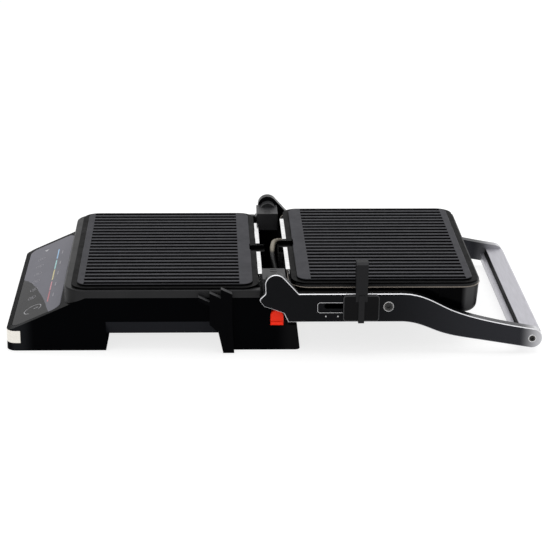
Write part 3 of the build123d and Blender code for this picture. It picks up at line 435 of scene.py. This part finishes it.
@dataclass(frozen=True)
class GlassWithPaintedReflection:
    """Pale violet glass, with a painted reflection that makes it darker by the dial behind a curved line.

    The line lies where x = start + slant * v + bow * v * v, with v the distance up the slope.
    """

    name: str
    foot_y: float
    slope: float
    dark: Colour = (0.014, 0.014, 0.015)
    pale: Colour = (0.138, 0.137, 0.164)
    start: float = -0.028
    slant: float = 1.2
    bow: float = 40.0
    waver: float = 0.012

    def make(self) -> bpy.types.Material:
        """Build the material.

        Returns:
            The finished material.
        """
        recipe = Recipe(self.name)
        up_slope = recipe.maths("MULTIPLY", recipe.maths("SUBTRACT", recipe.coordinate(Axis3.ALONG), self.foot_y),
                                self.slope)
        line = recipe.total(recipe.maths("MULTIPLY", up_slope, -self.slant),
                            recipe.maths("MULTIPLY", recipe.maths("POWER", up_slope, 2.0), -self.bow))
        wobble = recipe.maths("MULTIPLY", recipe.maths("SUBTRACT", recipe.noise(60.0, 1.0), 0.5), self.waver)
        past = recipe.total(recipe.total(recipe.coordinate(Axis3.ACROSS), line), wobble)
        # Painted reflection: past the curved, wavering line the glass takes the dark colour.
        tone = recipe.blend(recipe.span(past, self.start - 0.001, self.start + 0.001), self.pale, self.dark)
        recipe.set("Base Color", recipe.blend(recipe.span(recipe.noise(30.0), 0.3, 0.9, 0.0, 0.1), tone, self.dark))
        recipe.set("Roughness", recipe.span(recipe.noise(45.0), 0.2, 0.8, 0.14, 0.22))
        recipe.set("Specular IOR Level", 0.04)
        recipe.bump(recipe.noise(24.0, 1.0), 0.00003)
        return recipe.material


@dataclass(frozen=True)
class Ink:
    """Screen-printed ink with faintly uneven colour and sheen."""

    name: str
    colour: Colour

    def make(self) -> bpy.types.Material:
        """Build the material.

        Returns:
            The finished material.
        """
        recipe = Recipe(self.name)
        recipe.set("Base Color", recipe.shade(self.colour, 0.15, recipe.noise(500.0)))
        recipe.set("Roughness", recipe.span(recipe.noise(700.0), 0.2, 0.8, 0.4, 0.55))
        recipe.bump(recipe.noise(2600.0), 0.00001)
        return recipe.material


@dataclass(frozen=True)
class Lacquer:
    """Solder lacquer of a circuit board, with its copper tracks showing through."""

    name: str
    lacquer: Colour = (0.012, 0.09, 0.035)
    track: Colour = (0.05, 0.2, 0.07)

    def make(self) -> bpy.types.Material:
        """Build the material.

        Returns:
            The finished material.
        """
        recipe = Recipe(self.name)
        tracks = recipe.span(recipe.noise(220.0, 0.0, (1.0, 6.0, 6.0)), 0.5, 0.56)
        recipe.set("Base Color", recipe.blend(tracks, self.lacquer, self.track))
        recipe.set("Roughness", recipe.span(recipe.noise(300.0), 0.2, 0.8, 0.25, 0.4))
        recipe.bump(tracks, 0.00003)
        return recipe.material


@dataclass
class Finishes:
    """Every finish of the grill, made once and handed out by name."""

    made: dict[str, bpy.types.Material] = field(default_factory=dict)

    def get(self, finish: object) -> bpy.types.Material:
        """Material of a finish.

        Args:
            finish: One of the finish dataclasses.

        Returns:
            Its material, built the first time it is asked for.
        """
        if finish.name not in self.made:
            self.made[finish.name] = finish.make()
        return self.made[finish.name]


# Painted light: these tints lighten faces by their slant or place, as highlights, sheen and reflections: the steps'
# tops, the housing's downward faces, front corner and rear, the lid shell's corner, the chamfers of the slider and
# screws, and the slider's rib.
# SLOPE_SHADE darkens the frame's front slope as painted shade.
TOOTH_SHEEN = Tint(TintBy.NORMAL, Axis3.UP, (0.3, 0.6, 2.0, 3.0), (0.06, 0.06, 0.062))
BELLY_SHEEN = Tint(TintBy.NORMAL, Axis3.UP, (-0.7, -0.5, -0.3, -0.15), (0.012, 0.0125, 0.015))
CORNER_SHEEN = Tint(TintBy.PLACE, Axis3.ALONG, (-0.326, -0.318, -0.312, -0.294), (0.011, 0.0115, 0.013))
REAR_SHEEN = Tint(TintBy.PLACE, Axis3.ALONG, (0.0, 0.02, 0.5, 0.6), (0.0055, 0.0055, 0.006))
SHELL_SHEEN = Tint(TintBy.NORMAL, Axis3.ALONG, (0.04, 0.3, 0.6, 0.9), (0.075, 0.075, 0.077))
EDGE_SHEEN = Tint(TintBy.FACING, Axis3.ACROSS, (0.2, 0.4, 0.85, 0.97), (0.045, 0.045, 0.047))
SCREW_SHEEN = Tint(TintBy.FACING, Axis3.ACROSS, (0.2, 0.4, 0.85, 0.97), (0.5, 0.48, 0.45))
RIB_SHEEN = Tint(TintBy.PLACE, Axis3.ACROSS, (0.1651, 0.1655, 1.0, 2.0), (0.016, 0.016, 0.017))
SLOPE_SHADE = Tint(TintBy.PLACE, Axis3.ALONG, (-0.3, -0.29, -0.25, -0.238), (0.009, 0.009, 0.0095))

BODY_BLACK = Moulding("body_black_gloss", (0.0005, 0.0006, 0.001), 0.24, 0.012, 900.0, 0.00001,
                      tints=(CORNER_SHEEN, REAR_SHEEN, BELLY_SHEEN))
SHELL_BLACK = Moulding("shell_black_gloss", (0.0006, 0.0006, 0.0009), 0.16, 0.02, 900.0, 0.00001,
                       tints=(SHELL_SHEEN,))
COVER_BLACK = Moulding("cover_black_grain", (0.004, 0.004, 0.0045), 0.5, 0.08, 1800.0, 0.00004)
STEP_BLACK = Moulding("step_black_satin", (0.0008, 0.0008, 0.0012), 0.36, 0.02, 1500.0, 0.00003,
                      tints=(TOOTH_SHEEN,))
FRAME_GREY = Moulding("frame_grey_satin", (0.018, 0.018, 0.019), 0.36, 0.12, 1500.0, 0.00002,
                      tints=(SLOPE_SHADE,))
TOWER_GREY = Moulding("tower_grey_satin", (0.026, 0.026, 0.0275), 0.34, 0.14, 1500.0, 0.00002)
SLIDER_BLACK = Moulding("slider_black_satin", (0.0028, 0.0028, 0.0033), 0.34, 0.07, 1600.0, 0.00002,
                        tints=(EDGE_SHEEN, RIB_SHEEN))
BUTTON_RED = Moulding("button_red_gloss", (0.97, 0.026, 0.006), 0.3, 0.12, 700.0, 0.00001)
SOFT_RUBBER = Moulding("rubber_soft_black", (0.014, 0.014, 0.014), 0.75, 0.3, 2000.0, 0.00006)
# Painted highlight: the top of the sleeve's loop, above a set height, is coloured beige-grey.
SLEEVE_TOP_HIGHLIGHT = Tint(TintBy.PLACE, Axis3.UP, (0.0705, 0.0735, 2.0, 3.0), (0.27, 0.245, 0.2))
SLEEVE_RUBBER = Moulding("sleeve_dark_rubber", (0.012, 0.012, 0.012), 0.45, 0.2, 1200.0, 0.00004,
                         tints=(SLEEVE_TOP_HIGHLIGHT,))
HANDLE_SILVER = Metal("handle_satin_aluminium", (0.44, 0.435, 0.47), 0.36)
TRIM_SILVER = Metal("trim_satin_silver", (0.76, 0.73, 0.67), 0.36)
PAN_STEEL = Metal("pan_pressed_steel", (0.6, 0.6, 0.61), 0.32)
BRIGHT_STEEL = Metal("bright_polished_steel", (0.88, 0.88, 0.88), 0.14, (40.0, 40.0, 40.0))
DARK_STEEL = Moulding("screw_blackened_steel", (0.012, 0.012, 0.013), 0.3, 0.3, 900.0, 0.00001,
                      tints=(SCREW_SHEEN,))
PALE_EDGE = Metal("edge_bright_cut_metal", (0.6, 0.6, 0.61), 0.22, (60.0, 60.0, 60.0))
RIM_BRONZE = Metal("rim_bronzed_metal", (0.2, 0.175, 0.15), 0.3, (60.0, 60.0, 60.0))
SCREW_STEEL = Metal("screw_plain_steel", (0.56, 0.55, 0.54), 0.3, (60.0, 60.0, 60.0))


def put_mesh(name: str, points: np.ndarray, faces: list[tuple[int, ...]], smooth: bool = False) -> bpy.types.Object:
    """Make an object from points and faces, with its place in its mesh.

    Args:
        name: Name of the piece.
        points: Array of n by 3 coordinates in metres.
        faces: Corner numbers of each face, anticlockwise seen from outside.
        smooth: Whether the faces are shaded smoothly.

    Returns:
        The new object.
    """
    mesh = bpy.data.meshes.new(name)
    mesh.from_pydata(points.tolist(), [], faces)
    mesh.polygons.foreach_set("use_smooth", np.full(len(mesh.polygons), smooth))
    mesh.update()
    piece = bpy.data.objects.new(name, mesh)
    bpy.context.scene.collection.objects.link(piece)
    return piece


def loop_faces(rows: int, columns: int, closed_rows: bool) -> list[tuple[int, ...]]:
    """Quads of a grid whose columns close into loops.

    Args:
        rows: Number of loops.
        columns: Points in each loop.
        closed_rows: Whether the last loop joins the first.

    Returns:
        Corner numbers of each quad: row i and i + 1, column j and j + 1.
    """
    i, j = np.meshgrid(np.arange(rows if closed_rows else rows - 1), np.arange(columns), indexing="ij")
    nxt, right = (i + 1) % rows, (j + 1) % columns
    quads = np.stack([i * columns + j, i * columns + right, nxt * columns + right, nxt * columns + j], axis=-1)
    return [tuple(q) for q in quads.reshape(-1, 4).tolist()]


def rounded_outline(half_x: float, half_y: float, radius: float, steps: int = 6) -> np.ndarray:
    """Rectangle with rounded corners, anticlockwise.

    Each corner is a quarter circle: corner centre plus radius times (cos t, sin t), with t running
    from the corner's first angle over 90 degrees.

    Args:
        half_x: Half of the width.
        half_y: Half of the height.
        radius: Radius of the corners.
        steps: Points per corner, less one.

    Returns:
        Array of n by 2 points.
    """
    t = np.linspace(0.0, math.pi / 2, steps + 1)
    start = np.array([0.0, 0.5, 1.0, 1.5]) * math.pi
    angle = start[:, None] + t[None, :]
    centre = np.array([(1, 1), (-1, 1), (-1, -1), (1, -1)]) * (half_x - radius, half_y - radius)
    points = centre[:, None, :] + radius * np.stack([np.cos(angle), np.sin(angle)], axis=-1)
    return points.reshape(-1, 2)


def regular_outline(radius: float, sides: int, turn: float = 0.0) -> np.ndarray:
    """Regular polygon: radius times (cos a, sin a) at equal angles a.

    Args:
        radius: Distance of the corners from the middle.
        sides: Number of corners.
        turn: Angle of the first corner.

    Returns:
        Array of n by 2 points, anticlockwise.
    """
    angle = turn + np.arange(sides) * (2 * math.pi / sides)
    return radius * np.stack([np.cos(angle), np.sin(angle)], axis=-1)


@dataclass(frozen=True)
class Surface:
    """A flat face of the grill that print or trim lies on.

    A point (u, v, w) of it lies at origin + u * right + v * up + w * out.
    """

    origin: tuple[float, float, float]
    right: tuple[float, float, float]
    up: tuple[float, float, float]

    @property
    def out(self) -> np.ndarray:
        """Unit vector off the face."""
        return np.cross(np.array(self.right), np.array(self.up))

    def place(self, flat: np.ndarray, height: float) -> np.ndarray:
        """Points of the face, raised off it.

        Args:
            flat: Array of n by 2 positions on the face.
            height: Distance off the face.

        Returns:
            Array of n by 3 points.
        """
        right, up = np.array(self.right), np.array(self.up)
        return np.array(self.origin) + flat[:, :1] * right + flat[:, 1:] * up + height * self.out

    def pad(self, name: str, outline: np.ndarray, centre: tuple[float, float], low: float,
            high: float) -> bpy.types.Object:
        """A low prism on the face: its outline at two heights, joined by walls and closed by caps.

        Args:
            name: Name of the piece.
            outline: Array of n by 2 points, anticlockwise.
            centre: Where the outline's middle lies on the face.
            low: Height of its underside.
            high: Height of its top.

        Returns:
            The new object.
        """
        flat = outline + np.array(centre)
        count = len(flat)
        points = np.concatenate([self.place(flat, low), self.place(flat, high)])
        faces = loop_faces(2, count, False)
        faces += [tuple(range(count - 1, -1, -1)), tuple(range(count, 2 * count))]
        return put_mesh(name, points, faces)

    def bead(self, name: str, outline: np.ndarray, centre: tuple[float, float], radius: float,
             sides: int = 8) -> bpy.types.Object:
        """A round bead along a closed outline on the face.

        Point (i, j) lies off outline point i by the bead's radius, times cos a along the outline's
        outward normal and times sin a off the face, where a = 2 pi j / sides. The normal is the
        tangent turned by a quarter, and the tangent is the way between the two neighbours.

        Args:
            name: Name of the piece.
            outline: Array of n by 2 points, anticlockwise.
            centre: Where the outline's middle lies on the face.
            radius: Radius of the bead.
            sides: Points round it.

        Returns:
            The new object.
        """
        tangent = np.roll(outline, -1, axis=0) - np.roll(outline, 1, axis=0)
        tangent /= np.linalg.norm(tangent, axis=1, keepdims=True)
        normal = np.stack([tangent[:, 1], -tangent[:, 0]], axis=-1)
        angle = np.arange(sides) * (2 * math.pi / sides)
        flat = (outline + np.array(centre))[:, None, :] + radius * np.cos(angle)[None, :, None] * normal[:, None, :]
        rise = radius * np.tile(np.sin(angle), len(outline))[:, None]
        points = self.place(flat.reshape(-1, 2), 0.0) + rise * self.out
        faces = [tuple(reversed(f)) for f in loop_faces(len(outline), sides, True)]
        return put_mesh(name, points, faces, True)

    def ring(self, name: str, radius: float, width: float, centre: tuple[float, float], low: float, high: float,
             start: float = 0.0, sweep: float = 2 * math.pi, steps: int = 48) -> bpy.types.Object:
        """A flat ring or part of one: a small rectangle carried round an arc.

        Point (i, j) lies at angle start + i * sweep / steps and on corner j of the rectangle, whose
        corners are the inner and outer radius at the low and the high level.

        Args:
            name: Name of the piece.
            radius: Middle radius.
            width: Width of the ring.
            centre: Its middle on the face.
            low: Height of its underside.
            high: Height of its top.
            start: First angle.
            sweep: Angle that it covers.
            steps: Number of steps round it.

        Returns:
            The new object.
        """
        whole = sweep >= 2 * math.pi - 1e-6
        angle = start + np.linspace(0.0, sweep, steps, endpoint=not whole)
        radii = radius + width / 2 * np.array([-1.0, 1.0, 1.0, -1.0])
        level = np.array([low, low, high, high])
        flat = radii[None, :, None] * np.stack([np.cos(angle), np.sin(angle)], axis=-1)[:, None, :] + np.array(centre)
        points = self.place(flat.reshape(-1, 2), 0.0) + np.tile(level, steps)[:, None] * self.out
        faces = [tuple(reversed(f)) for f in loop_faces(steps, 4, whole)]
        if not whole:
            faces += [(0, 1, 2, 3), tuple(4 * (steps - 1) + k for k in (3, 2, 1, 0))]
        return put_mesh(name, points, faces)


def join(name: str, parts: list[bpy.types.Object]) -> bpy.types.Object:
    """Join several meshes into one piece.

    Args:
        name: Name of the piece.
        parts: Objects to join.

    Returns:
        The joined object.
    """
    points, faces, start = [], [], 0
    for part in parts:
        xyz = np.empty(len(part.data.vertices) * 3)
        part.data.vertices.foreach_get("co", xyz)
        points.append(xyz.reshape(-1, 3))
        faces += [tuple(v + start for v in face.vertices) for face in part.data.polygons]
        start += len(part.data.vertices)
        bpy.data.objects.remove(part)
    return put_mesh(name, np.concatenate(points), faces)


@dataclass
class SubAssembly:
    """A group of pieces that one set of finishes dresses."""

    finishes: Finishes

    def dress(self, node: str, finish: object) -> None:
        """Give a CAD part its finish.

        Args:
            node: Name of the part.
            finish: Its finish.
        """
        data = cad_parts[node].data
        data.materials.clear()
        data.materials.append(self.finishes.get(finish))
        LOG.info("dressed %s in %s", node, finish.name)

    def add(self, piece: bpy.types.Object, body: str, slot: str, finish: object) -> bpy.types.Object:
        """Give a new piece its body and finish.

        Args:
            piece: The piece.
            body: Body that it moves with.
            slot: Material slot of the record; not used.
            finish: Its finish.

        Returns:
            The piece.
        """
        piece.data.materials.clear()
        piece.data.materials.append(self.finishes.get(finish))
        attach(piece, body)
        LOG.info("added %s on %s", piece.name, body)
        return piece


@dataclass
class Base(SubAssembly):
    """Lower housing with its frame, trim, cover, feet, gland and stop steps."""

    def build(self) -> None:
        """Dress the housing and what is fixed to it."""
        self.dress("base_housing", BODY_BLACK)
        self.dress("top_frame", FRAME_GREY)
        self.dress("height_steps", STEP_BLACK)
        self.dress("bottom_cover", COVER_BLACK)
        self.dress("drip_tray", COVER_BLACK)
        self.dress("front_trim", TRIM_SILVER)
        self.dress("bottom_screws", SCREW_STEEL)
        self.dress("rubber_feet", SOFT_RUBBER)
        self.dress("cord_gland", SOFT_RUBBER)
        self.dress("power_board", Lacquer("board_green_lacquer"))
        self.dress("control_board", Lacquer("board_green_lacquer"))
        self.dress("release_button", BUTTON_RED)
        self.dress("release_spring", SCREW_STEEL)
        self.dress("lower_plate_latch", SLIDER_BLACK)
        for hand in ("left", "right"):
            self.dress(f"{hand}_hinge_tower", TOWER_GREY)
            self.dress(f"{hand}_hinge_pin", SCREW_STEEL)


@dataclass
class Heating(SubAssembly):
    """Plates, pans, shields, elements and sensors of both halves."""

    ridge_heights: dict[str, float] = field(default_factory=lambda: {"lower": 0.0843, "upper": 0.0903})

    def build(self) -> None:
        """Dress the heating parts of both halves."""
        for half, height in self.ridge_heights.items():
            self.dress(f"{half}_plate", NonStick(f"{half}_plate_coating", height))
            self.dress(f"{half}_pan", PAN_STEEL)
            self.dress(f"{half}_heat_shield", BRIGHT_STEEL)
            self.dress(f"{half}_heating_element", HeatTint("element_browned_steel"))
            self.dress(f"{half}_temperature_sensor", BRIGHT_STEEL)


@dataclass
class TouchPanel(SubAssembly):
    """Printed glass in the slope, with coloured heat bars, a dial ring and plain touch marks."""

    foot: tuple[float, float, float] = (0.0, -0.324, 0.028)
    rise: float = 0.4516
    bar_line: float = 0.0468
    bar_half: float = 0.0009
    film: float = 0.00008
    dial: tuple[float, float] = (0.104, 0.027)
    dial_radius: float = 0.0115
    bars: tuple[tuple[str, float, float, Colour], ...] = (
        ("blue", -0.0955, -0.058, (0.3, 0.5, 0.72)),
        ("cyan", -0.053, -0.0185, (0.33, 0.6, 0.6)),
        ("yellow", -0.016, 0.0225, (0.62, 0.55, 0.28)),
        ("pink", 0.028, 0.06, (0.5, 0.22, 0.25)),
        ("red", 0.063, 0.099, (0.44, 0.13, 0.15)),
    )
    dial_line: float = 0.0009
    dial_gap_end: float = 0.9
    dial_sweep: float = 5.0
    label_half: tuple[float, float] = (0.006, 0.0008)
    label_rise: float = 0.0065
    icon_line: float = 0.0215
    icon_places: tuple[float, ...] = (-0.085, -0.057, -0.028, 0.0, 0.0295, 0.059)
    icon_radius: float = 0.0052
    icon_width: float = 0.0006
    icon_bar: tuple[float, float] = (0.0026, 0.0005)
    icon_bar_rise: float = 0.0013
    arrow_spot: tuple[float, float] = (-0.1137, 0.027)
    arrow_radius: float = 0.0042

    def build(self) -> None:
        """Dress the glass and lay its printed marks on it."""
        slope = math.hypot(1.0, self.rise)
        self.dress("control_glass", GlassWithPaintedReflection("panel_glass_painted_reflection", self.foot[1], slope))
        face = Surface(self.foot, (1.0, 0.0, 0.0), (0.0, 1.0 / slope, self.rise / slope))
        low = -self.film / 2
        white = Ink("print_soft_white", (0.42, 0.42, 0.44))
        faint = Ink("print_faint_grey", (0.24, 0.235, 0.26))
        for name, start, end, colour in self.bars:
            outline = rounded_outline((end - start) / 2, self.bar_half, self.bar_half * 0.9, 4)
            bar = face.pad(f"heat_bar_{name}", outline, ((start + end) / 2, self.bar_line), low, self.film)
            self.add(bar, "base", "panel_glass", Ink(f"print_{name}", colour))
        labels = [
            face.pad(f"label_{k}", rounded_outline(*self.label_half, 0.0006, 2),
                     ((a + b) / 2, self.bar_line + self.label_rise), low, self.film)
            for k, (_, a, b, _) in enumerate(self.bars)
        ]
        self.add(join("heat_labels", labels), "base", "panel_glass", faint)
        icons = []
        for k, x in enumerate(self.icon_places):
            icons.append(face.ring(f"icon_ring_{k}", self.icon_radius, self.icon_width, (x, self.icon_line), low,
                                   self.film, steps=32))
            bar = rounded_outline(*self.icon_bar, 0.0004, 2)
            for name, rise in (("bar", self.icon_bar_rise), ("foot", -self.icon_bar_rise)):
                icons.append(face.pad(f"icon_{name}_{k}", bar, (x, self.icon_line + rise), low, self.film))
        self.add(join("touch_icons", icons), "base", "panel_glass", faint)
        marks = [
            face.ring("dial_ring", self.dial_radius, self.dial_line, self.dial, low, self.film, self.dial_gap_end,
                      self.dial_sweep),
            face.pad("dial_bar", rounded_outline(0.0006, 0.0035, 0.0005, 2), (self.dial[0], self.dial[1] + 0.004), low,
                     self.film),
            face.pad("start_arrow", regular_outline(self.arrow_radius, 3), self.arrow_spot, low, self.film),
        ]
        self.add(join("dial_marks", marks), "base", "panel_glass", white)


@dataclass
class Lid(SubAssembly):
    """Upper shell with its frame, latch and bronzed rim bead."""

    half_width: float = 0.1444
    half_depth: float = 0.11725
    middle: float = 0.13425
    corner: float = 0.024
    proud: float = 0.0001
    bead_height: float = 0.0821
    bead_radius: float = 0.0007

    def build(self) -> None:
        """Dress the shell and what is fixed to it."""
        self.dress("lid_shell", SHELL_BLACK)
        self.dress("lid_frame", FRAME_GREY)
        rim = Surface((0.0, self.middle, self.bead_height), (1.0, 0.0, 0.0), (0.0, 1.0, 0.0))
        outline = rounded_outline(self.half_width + self.proud, self.half_depth + self.proud, self.corner, 10)
        bead = rim.bead("lid_rim_bead", outline, (0.0, 0.0), self.bead_radius)
        self.add(bead, "lid", "frame_grey", RIM_BRONZE)
        self.dress("upper_plate_latch", STEP_BLACK)


@dataclass
class Arms(SubAssembly):
    """Both arms with the handle, their screws and the height slider."""

    dot_spots: tuple[tuple[float, float], ...] = ((0.061, 0.0503), (0.0757, 0.0503))
    dot_radius: float = 0.0009
    slot_half: tuple[float, float] = (0.03095, 0.0065)
    slot_corner: float = 0.003
    slot_middle: tuple[float, float] = (0.0818, 0.0615)
    slot_bead: float = 0.00028
    pivot: tuple[float, float] = (0.137, 0.0628)
    pivot_ring: tuple[float, float] = (0.0061, 0.0003)
    handle_screw: tuple[float, float] = (0.3145, 0.0204)
    handle_screw_ring: tuple[float, float] = (0.0045, 0.0006)
    arm_face: float = 0.16
    # Painted highlight: the left arm fades to silver sooner than the right, so its inner face, seen across the grill,
    # is paler; the arms themselves are alike.
    fade_starts: dict[str, float] = field(default_factory=lambda: {"left": 0.285, "right": 0.298})

    def build(self) -> None:
        """Dress the arms and print the two position dots."""
        for hand in ("left", "right"):
            start = self.fade_starts[hand]
            self.dress(f"{hand}_arm", ArmPaint(f"{hand}_arm_metallic_paint", fade_start=start))
            self.dress(f"{hand}_pivot_screw", DARK_STEEL)
            self.dress(f"{hand}_handle_screw", DARK_STEEL)
        self.dress("handle_bar", HANDLE_SILVER)
        self.dress("handle_strip", COVER_BLACK)
        self.dress("height_slider", SLIDER_BLACK)
        self.dress("slider_keeper", SCREW_STEEL)
        side = Surface((self.arm_face, 0.0, 0.0), (0.0, 1.0, 0.0), (0.0, 0.0, 1.0))
        slot = rounded_outline(*self.slot_half, self.slot_corner, 6)
        self.add(side.bead("slot_rim", slot, self.slot_middle, self.slot_bead), "arms", "arm_grey", PALE_EDGE)
        for name, (radius, bead), spot in (("pivot_rim", self.pivot_ring, self.pivot),
                                           ("handle_screw_rim", self.handle_screw_ring, self.handle_screw)):
            self.add(side.bead(name, regular_outline(radius, 40), spot, bead), "arms", "arm_grey", PALE_EDGE)
        dots = [side.pad(f"dot_{k}", regular_outline(self.dot_radius, 20), spot, -0.00005, 0.0001)
                for k, spot in enumerate(self.dot_spots)]
        self.add(join("position_dots", dots), "arms", "arm_grey", Ink("print_pale_dot", (0.6, 0.6, 0.6)))


@dataclass
class LeadSleeve(SubAssembly):
    """Rubber sleeve round the wires from the base to the lid, looped out into the pit."""

    radius: float = 0.0032
    length: float = 0.1345
    route: tuple[tuple[float, float, float], ...] = (
        (-0.058, 0.0171, 0.072), (-0.058, 0.007, 0.072), (-0.036, 0.003, 0.0745), (-0.012, 0.0015, 0.068),
        (0.014, 0.006, 0.056), (0.034, 0.0085, 0.045), (0.045, 0.0185, 0.0415), (0.045, 0.0185, 0.03305),
    )

    def build(self) -> None:
        """Lay the sleeve along its route as one smooth spline."""
        data = bpy.data.curves.new("lead_sleeve_cover", "CURVE")
        data.dimensions = "3D"
        data.bevel_depth = self.radius
        data.bevel_resolution = 5
        data.resolution_u = 16
        data.use_fill_caps = True
        spline = data.splines.new("NURBS")
        spline.points.add(len(self.route) - 1)
        flat = np.c_[np.array(self.route), np.ones(len(self.route))].ravel()
        spline.points.foreach_set("co", flat)
        spline.order_u = 3
        spline.use_endpoint_u = True
        sleeve = bpy.data.objects.new("lead_sleeve_cover", data)
        bpy.context.scene.collection.objects.link(sleeve)
        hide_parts("lead_sleeve")
        self.add(sleeve, "base", "rubber_black", SLEEVE_RUBBER)


@dataclass
class Studio:
    """Pale floor, soft lights and the camera at the photograph's place."""

    eye: tuple[float, float, float] = (2.151, -0.0845, 0.843)
    pitch: float = math.radians(20.35)
    yaw: float = math.radians(1.63)
    roll: float = math.radians(0.39)
    lens: float = 115.7
    shift: float = 0.04
    floor_half: float = 6.0
    floor_grey: float = 0.36
    floor_glow: float = 0.78
    diffuse_light: float = 0.45
    seen_light: float = 1.0

    def build(self) -> None:
        """Set up the camera, the world, the floor and the lamps."""
        self.camera()
        self.world()
        self.floor()
        self.lamp("overhead_softbox", (-0.2, 0.0, 2.2), (0.0, 0.0, 0.08), (2.6, 2.2), 30.0)
        self.lamp("near_softbox", (2.2, -0.9, 1.6), (0.0, 0.0, 0.05), (1.4, 1.4), 3.5)
        self.lamp("rear_softbox", (-1.6, 1.6, 1.2), (0.0, 0.1, 0.05), (1.2, 1.2), 10.0)
        bpy.context.scene.view_settings.view_transform = "Standard"

    def camera(self) -> None:
        """Place the camera by its pitch, yaw and roll."""
        look = Vector((-math.cos(self.pitch) * math.cos(self.yaw), math.cos(self.pitch) * math.sin(self.yaw),
                       -math.sin(self.pitch)))
        right = Vector((math.sin(self.yaw), math.cos(self.yaw), 0.0))
        above = right.cross(look)
        side = right * math.cos(self.roll) + above * math.sin(self.roll)
        top = above * math.cos(self.roll) - right * math.sin(self.roll)
        data = bpy.data.cameras.new("camera")
        data.lens = self.lens
        data.sensor_width = 36.0
        data.shift_x = self.shift
        data.clip_end = 50.0
        camera = bpy.data.objects.new("camera", data)
        turn = Matrix((side, top, -look)).transposed().to_4x4()
        camera.matrix_world = Matrix.Translation(self.eye) @ turn
        bpy.context.scene.collection.objects.link(camera)
        bpy.context.scene.camera = camera

    def world(self) -> None:
        """White where the camera, a reflection or glass sees it, and plain grey light elsewhere."""
        world = bpy.data.worlds.new("studio")
        bpy.context.scene.world = world
        world.use_nodes = True
        tree = world.node_tree
        tree.nodes.clear()
        path = tree.nodes.new("ShaderNodeLightPath")
        seen = tree.nodes.new("ShaderNodeMath")
        seen.operation = "MAXIMUM"
        tree.links.new(path.outputs["Is Camera Ray"], seen.inputs[0])
        tree.links.new(path.outputs["Is Glossy Ray"], seen.inputs[1])
        either = tree.nodes.new("ShaderNodeMath")
        either.operation = "MAXIMUM"
        tree.links.new(seen.outputs[0], either.inputs[0])
        tree.links.new(path.outputs["Is Transmission Ray"], either.inputs[1])
        mix = tree.nodes.new("ShaderNodeMixShader")
        out = tree.nodes.new("ShaderNodeOutputWorld")
        tree.links.new(either.outputs[0], mix.inputs[0])
        for target, strength in ((mix.inputs[1], self.diffuse_light), (mix.inputs[2], self.seen_light)):
            background = tree.nodes.new("ShaderNodeBackground")
            background.inputs["Color"].default_value = (1.0, 1.0, 1.0, 1.0)
            background.inputs["Strength"].default_value = strength
            tree.links.new(background.outputs[0], target)
        tree.links.new(mix.outputs[0], out.inputs["Surface"])

    def floor(self) -> None:
        """Wide pale floor that keeps the grill's shadow."""
        corner = self.floor_half * np.array([(-1, -1), (1, -1), (1, 1), (-1, 1)], float)
        points = np.c_[corner, np.zeros(4)]
        ground = put_mesh("studio_floor", points, [(0, 1, 2, 3)])
        recipe = Recipe("studio_floor_white")
        grey = (self.floor_grey, self.floor_grey, self.floor_grey)
        recipe.set("Base Color", recipe.shade(grey, 0.01, recipe.noise(3.0)))
        recipe.set("Roughness", 0.9)
        recipe.set("Specular IOR Level", 0.0)
        recipe.set("Emission Color", (1.0, 1.0, 1.0, 1.0))
        recipe.set("Emission Strength", self.floor_glow)
        ground.data.materials.append(recipe.material)

    def lamp(self, name: str, spot: Colour, target: Colour, size: tuple[float, float], power: float) -> None:
        """A rectangular soft light that points at a target.

        Args:
            name: Name of the light.
            spot: Where it stands.
            target: What it points at.
            size: Its width and height.
            power: Its power in watts.
        """
        data = bpy.data.lights.new(name, "AREA")
        data.shape = "RECTANGLE"
        data.size, data.size_y = size
        data.energy = power
        light = bpy.data.objects.new(name, data)
        way = Vector(target) - Vector(spot)
        light.matrix_world = Matrix.Translation(spot) @ way.to_track_quat("-Z", "Y").to_matrix().to_4x4()
        bpy.context.scene.collection.objects.link(light)


def main() -> None:
    """Build the studio and every sub-assembly."""
    logging.basicConfig(level=logging.INFO)
    Studio().build()
    finishes = Finishes()
    for part in (Base, Heating, TouchPanel, Lid, Arms, LeadSleeve):
        part(finishes).build()
        LOG.info("built %s", part.__name__)


if __name__ == "__main__":
    main()
